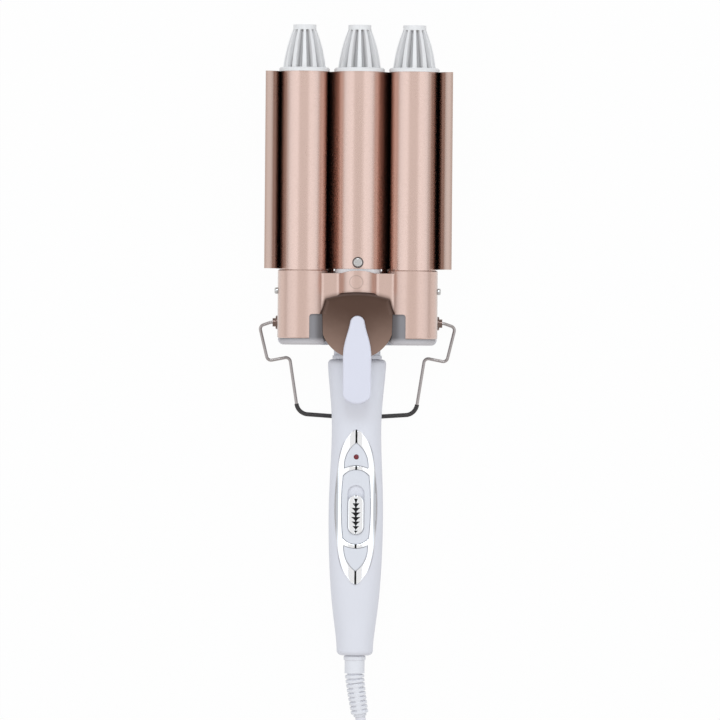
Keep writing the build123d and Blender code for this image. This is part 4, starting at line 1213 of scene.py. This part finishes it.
# -------------------------------- cord
@dataclass
class Cord:
    """The mains cord: down from its boot, round in a stored coil and on to the plug."""

    diameter: float = 5.5 * MM
    length: float = 1.755
    route: tuple[Point, ...] = (
        (3.2 * MM, -201.8 * MM, 11.9 * MM),
        (4.9 * MM, -213.0 * MM, 9.9 * MM),
        (2.9 * MM, -225.8 * MM, 5.6 * MM),
        (-1.8 * MM, -238.2 * MM, 3.9 * MM),
    )
    tail: tuple[Point, ...] = (
        (52.5 * MM, -281.5 * MM, 14.2 * MM),
        (61.3 * MM, -276.5 * MM, 13.0 * MM),
        (70.4 * MM, -271.6 * MM, 8.9 * MM),
        (79.0 * MM, -267.0 * MM, 7.0 * MM),
    )
    coil_centre: Pair = (34.0 * MM, -249.5 * MM)
    coil_radius: float = 32.0 * MM
    coil_foot: float = 0.9 * MM
    start_degrees: float = 162.5
    turns: float = 8.382
    points_per_turn: int = 24
    slots: tuple[tuple[int, int], ...] = (
        (1, 0), (0, 0), (-1, 0), (-1, 1), (-1, 2), (0, 2), (0, 1), (1, 1), (1, 2),
    )

    def slot_place(self, turn: float) -> Pair:
        """Radius and height of the winding after so many turns.

        Args:
            turn: turns since the coil's start.

        Returns:
            Radius and height, moving over to the next slot in the last sixth of a turn.
        """
        whole = min(int(turn), len(self.slots) - 1)
        following = min(whole + 1, len(self.slots) - 1)
        share = ease(5 / 6, 1.0, turn - whole)
        column, row = (
            here + (beyond - here) * share for here, beyond in zip(self.slots[whole], self.slots[following])
        )
        return self.coil_radius + column * self.diameter, self.coil_foot + self.diameter * (row + 0.5)

    def winding(self) -> list[Point]:
        """Points of the stored coil.

        Returns:
            The points, from just after the route's end to just before the tail.
        """
        points = []
        rounding = math.cos(math.pi / self.points_per_turn)
        for i in range(1, round(self.turns * self.points_per_turn)):
            turn = i / self.points_per_turn
            radius, height = self.slot_place(turn)
            angle = math.radians(self.start_degrees) + math.tau * turn
            x = self.coil_centre[0] + radius / rounding * math.cos(angle)
            y = self.coil_centre[1] + radius / rounding * math.sin(angle)
            points.append((x, y, height))
        return points

    def build(self, finish: Material, boot: Object) -> Object:
        """Makes the cord as one smooth spline.

        Args:
            finish: the jacket's material.
            boot: the ribbed boot that the cord leaves; not used.

        Returns:
            The cord's curve.
        """
        curve = bpy.data.curves.new("mains_cord", "CURVE")
        curve.dimensions = "3D"
        curve.bevel_depth = self.diameter / 2
        curve.bevel_resolution = 6
        curve.resolution_u = 6
        curve.use_fill_caps = True
        points = [*self.route, *self.winding(), *self.tail]
        spline = curve.splines.new("NURBS")
        spline.points.add(len(points) - 1)
        for point, place in zip(spline.points, points):
            point.co = (*place, 1.0)
        spline.order_u = 3
        spline.use_endpoint_u = True
        curve.materials.append(finish)
        cord = in_scene("mains_cord", curve)
        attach(cord, Body.CORD.value)
        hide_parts("cord_tube", "cord_tail", "cord_coil")
        log.info("cord of %d points", len(points))
        return cord


# -------------------------------- studio
@dataclass
class Studio:
    """Pale floor, soft lights and the camera above the waver."""

    pixel: float = 0.535 * MM
    frame_side: int = 720
    camera_place: Point = (1.55 * MM, -10.8 * MM, 4026 * MM)
    lean_degrees: float = 0.474
    sky_edges: Pair = (-0.05, 1.0)
    sky_strengths: Pair = (0.62, 0.84)
    lamp_color: Color = (0.88, 1.0, 1.10)
    lamps: tuple[tuple[str, Point, Pair, float], ...] = (
        ("left_soft_box", (-1.2, 0.0, 1.0), (1.1, 1.5), 2.6),
        ("right_soft_box", (1.15, 0.0, 1.05), (1.1, 1.5), 2.5),
        ("end_soft_box", (0.0, 0.85, 1.25), (0.5, 0.5), 4.0),
    )
    floor_color: Color = (0.7, 0.7, 0.7)
    floor_glow: float = 0.97
    sensor: float = 36.0
    floor_half: float = 6.0

    def camera(self) -> None:
        """Sets the camera up straight above the waver."""
        data = bpy.data.cameras.new("camera")
        distance = self.camera_place[2] - AXIS_Z
        data.sensor_width = self.sensor
        data.lens = self.sensor * distance / (self.pixel * self.frame_side)
        data.clip_end = 50
        camera = in_scene("camera", data)
        camera.location = self.camera_place
        camera.rotation_euler = (0, 0, math.radians(self.lean_degrees))
        bpy.context.scene.camera = camera

    def floor(self) -> None:
        """Lays the white floor; the camera and mirrors see it whiter than its shade."""
        mesh = bpy.data.meshes.new("floor")
        half = self.floor_half
        corners = [(-half, -half, 0), (half, -half, 0), (half, half, 0), (-half, half, 0)]
        mesh.from_pydata(corners, [], [(0, 1, 2, 3)])
        graph = Graph("floor_white")
        path = graph.node("ShaderNodeLightPath")
        seen = path.value("Is Camera Ray") + path.value("Is Glossy Ray") + path.value("Is Transmission Ray")
        matt = graph.node("ShaderNodeBsdfDiffuse", {}, {"Color": (*self.floor_color, 1)})
        white = graph.node("ShaderNodeEmission", {}, {"Color": (1, 1, 1, 1), "Strength": 1.0})
        both = graph.node("ShaderNodeMixShader", {}, {0: seen * self.floor_glow, 1: matt, 2: white})
        graph.node("ShaderNodeOutputMaterial", {}, {"Surface": both})
        mesh.materials.append(graph.material)
        floor = in_scene("floor", mesh)

    def lamp(self, name: str, place: Point, size: Pair, power: float) -> None:
        """Hangs one soft box that faces the waver.

        Args:
            name: the lamp's name.
            place: its middle, in metres.
            size: its width and length.
            power: its power in watts.
        """
        data = bpy.data.lights.new(name, "AREA")
        data.shape = "RECTANGLE"
        data.size, data.size_y = size
        data.energy = power
        data.color = self.lamp_color
        lamp = in_scene(name, data)
        lamp.location = place
        lamp.rotation_euler = (-Vector(place)).to_track_quat("-Z", "Y").to_euler()

    def world(self) -> None:
        """Lights everything from a pale sky that falls off towards the horizon."""
        world = bpy.data.worlds.new("surround")
        world.use_nodes = True
        sky = Graph.of_tree(world.node_tree)
        direction = sky.node("ShaderNodeTexCoord").out("Generated")
        up = sky.node("ShaderNodeSeparateXYZ", {}, {0: direction}).value("Z")
        strength = up.step(*self.sky_edges).between(*self.sky_strengths)
        light = sky.node("ShaderNodeBackground", {}, {"Color": (1.0, 1.0, 1.0, 1), "Strength": strength})
        sky.node("ShaderNodeOutputWorld", {}, {"Surface": light})
        bpy.context.scene.world = world

    def build(self) -> None:
        """Builds the whole studio."""
        self.camera()
        self.floor()
        for lamp in self.lamps:
            self.lamp(*lamp)
        self.world()
        bpy.context.scene.view_settings.view_transform = "Standard"
        log.info("studio built")


def main() -> None:
    """Builds the studio, the finishes, the pieces and the cord."""
    logging.basicConfig(level=logging.INFO, format="%(name)s: %(message)s")
    Studio().build()
    finishes = Finishes()
    finishes.dress_frame()
    worn = finishes.by_name
    Bezel("bezel", Body.HANDLE, "bright_chrome", ("bezel_frame",)).build(worn["chrome_dark_reflection"])
    button = SwitchButton("switch_button_cap", Body.BUTTON, "bright_chrome", ("slide_button",))
    button.build(worn["ridged_chrome"])
    boot = Boot("cord_boot", Body.CORD, "cord_white", ("strain_relief",)).build(worn["cord_white"])
    Cord().build(worn["cord_white"], boot)


if __name__ == "__main__":
    main()
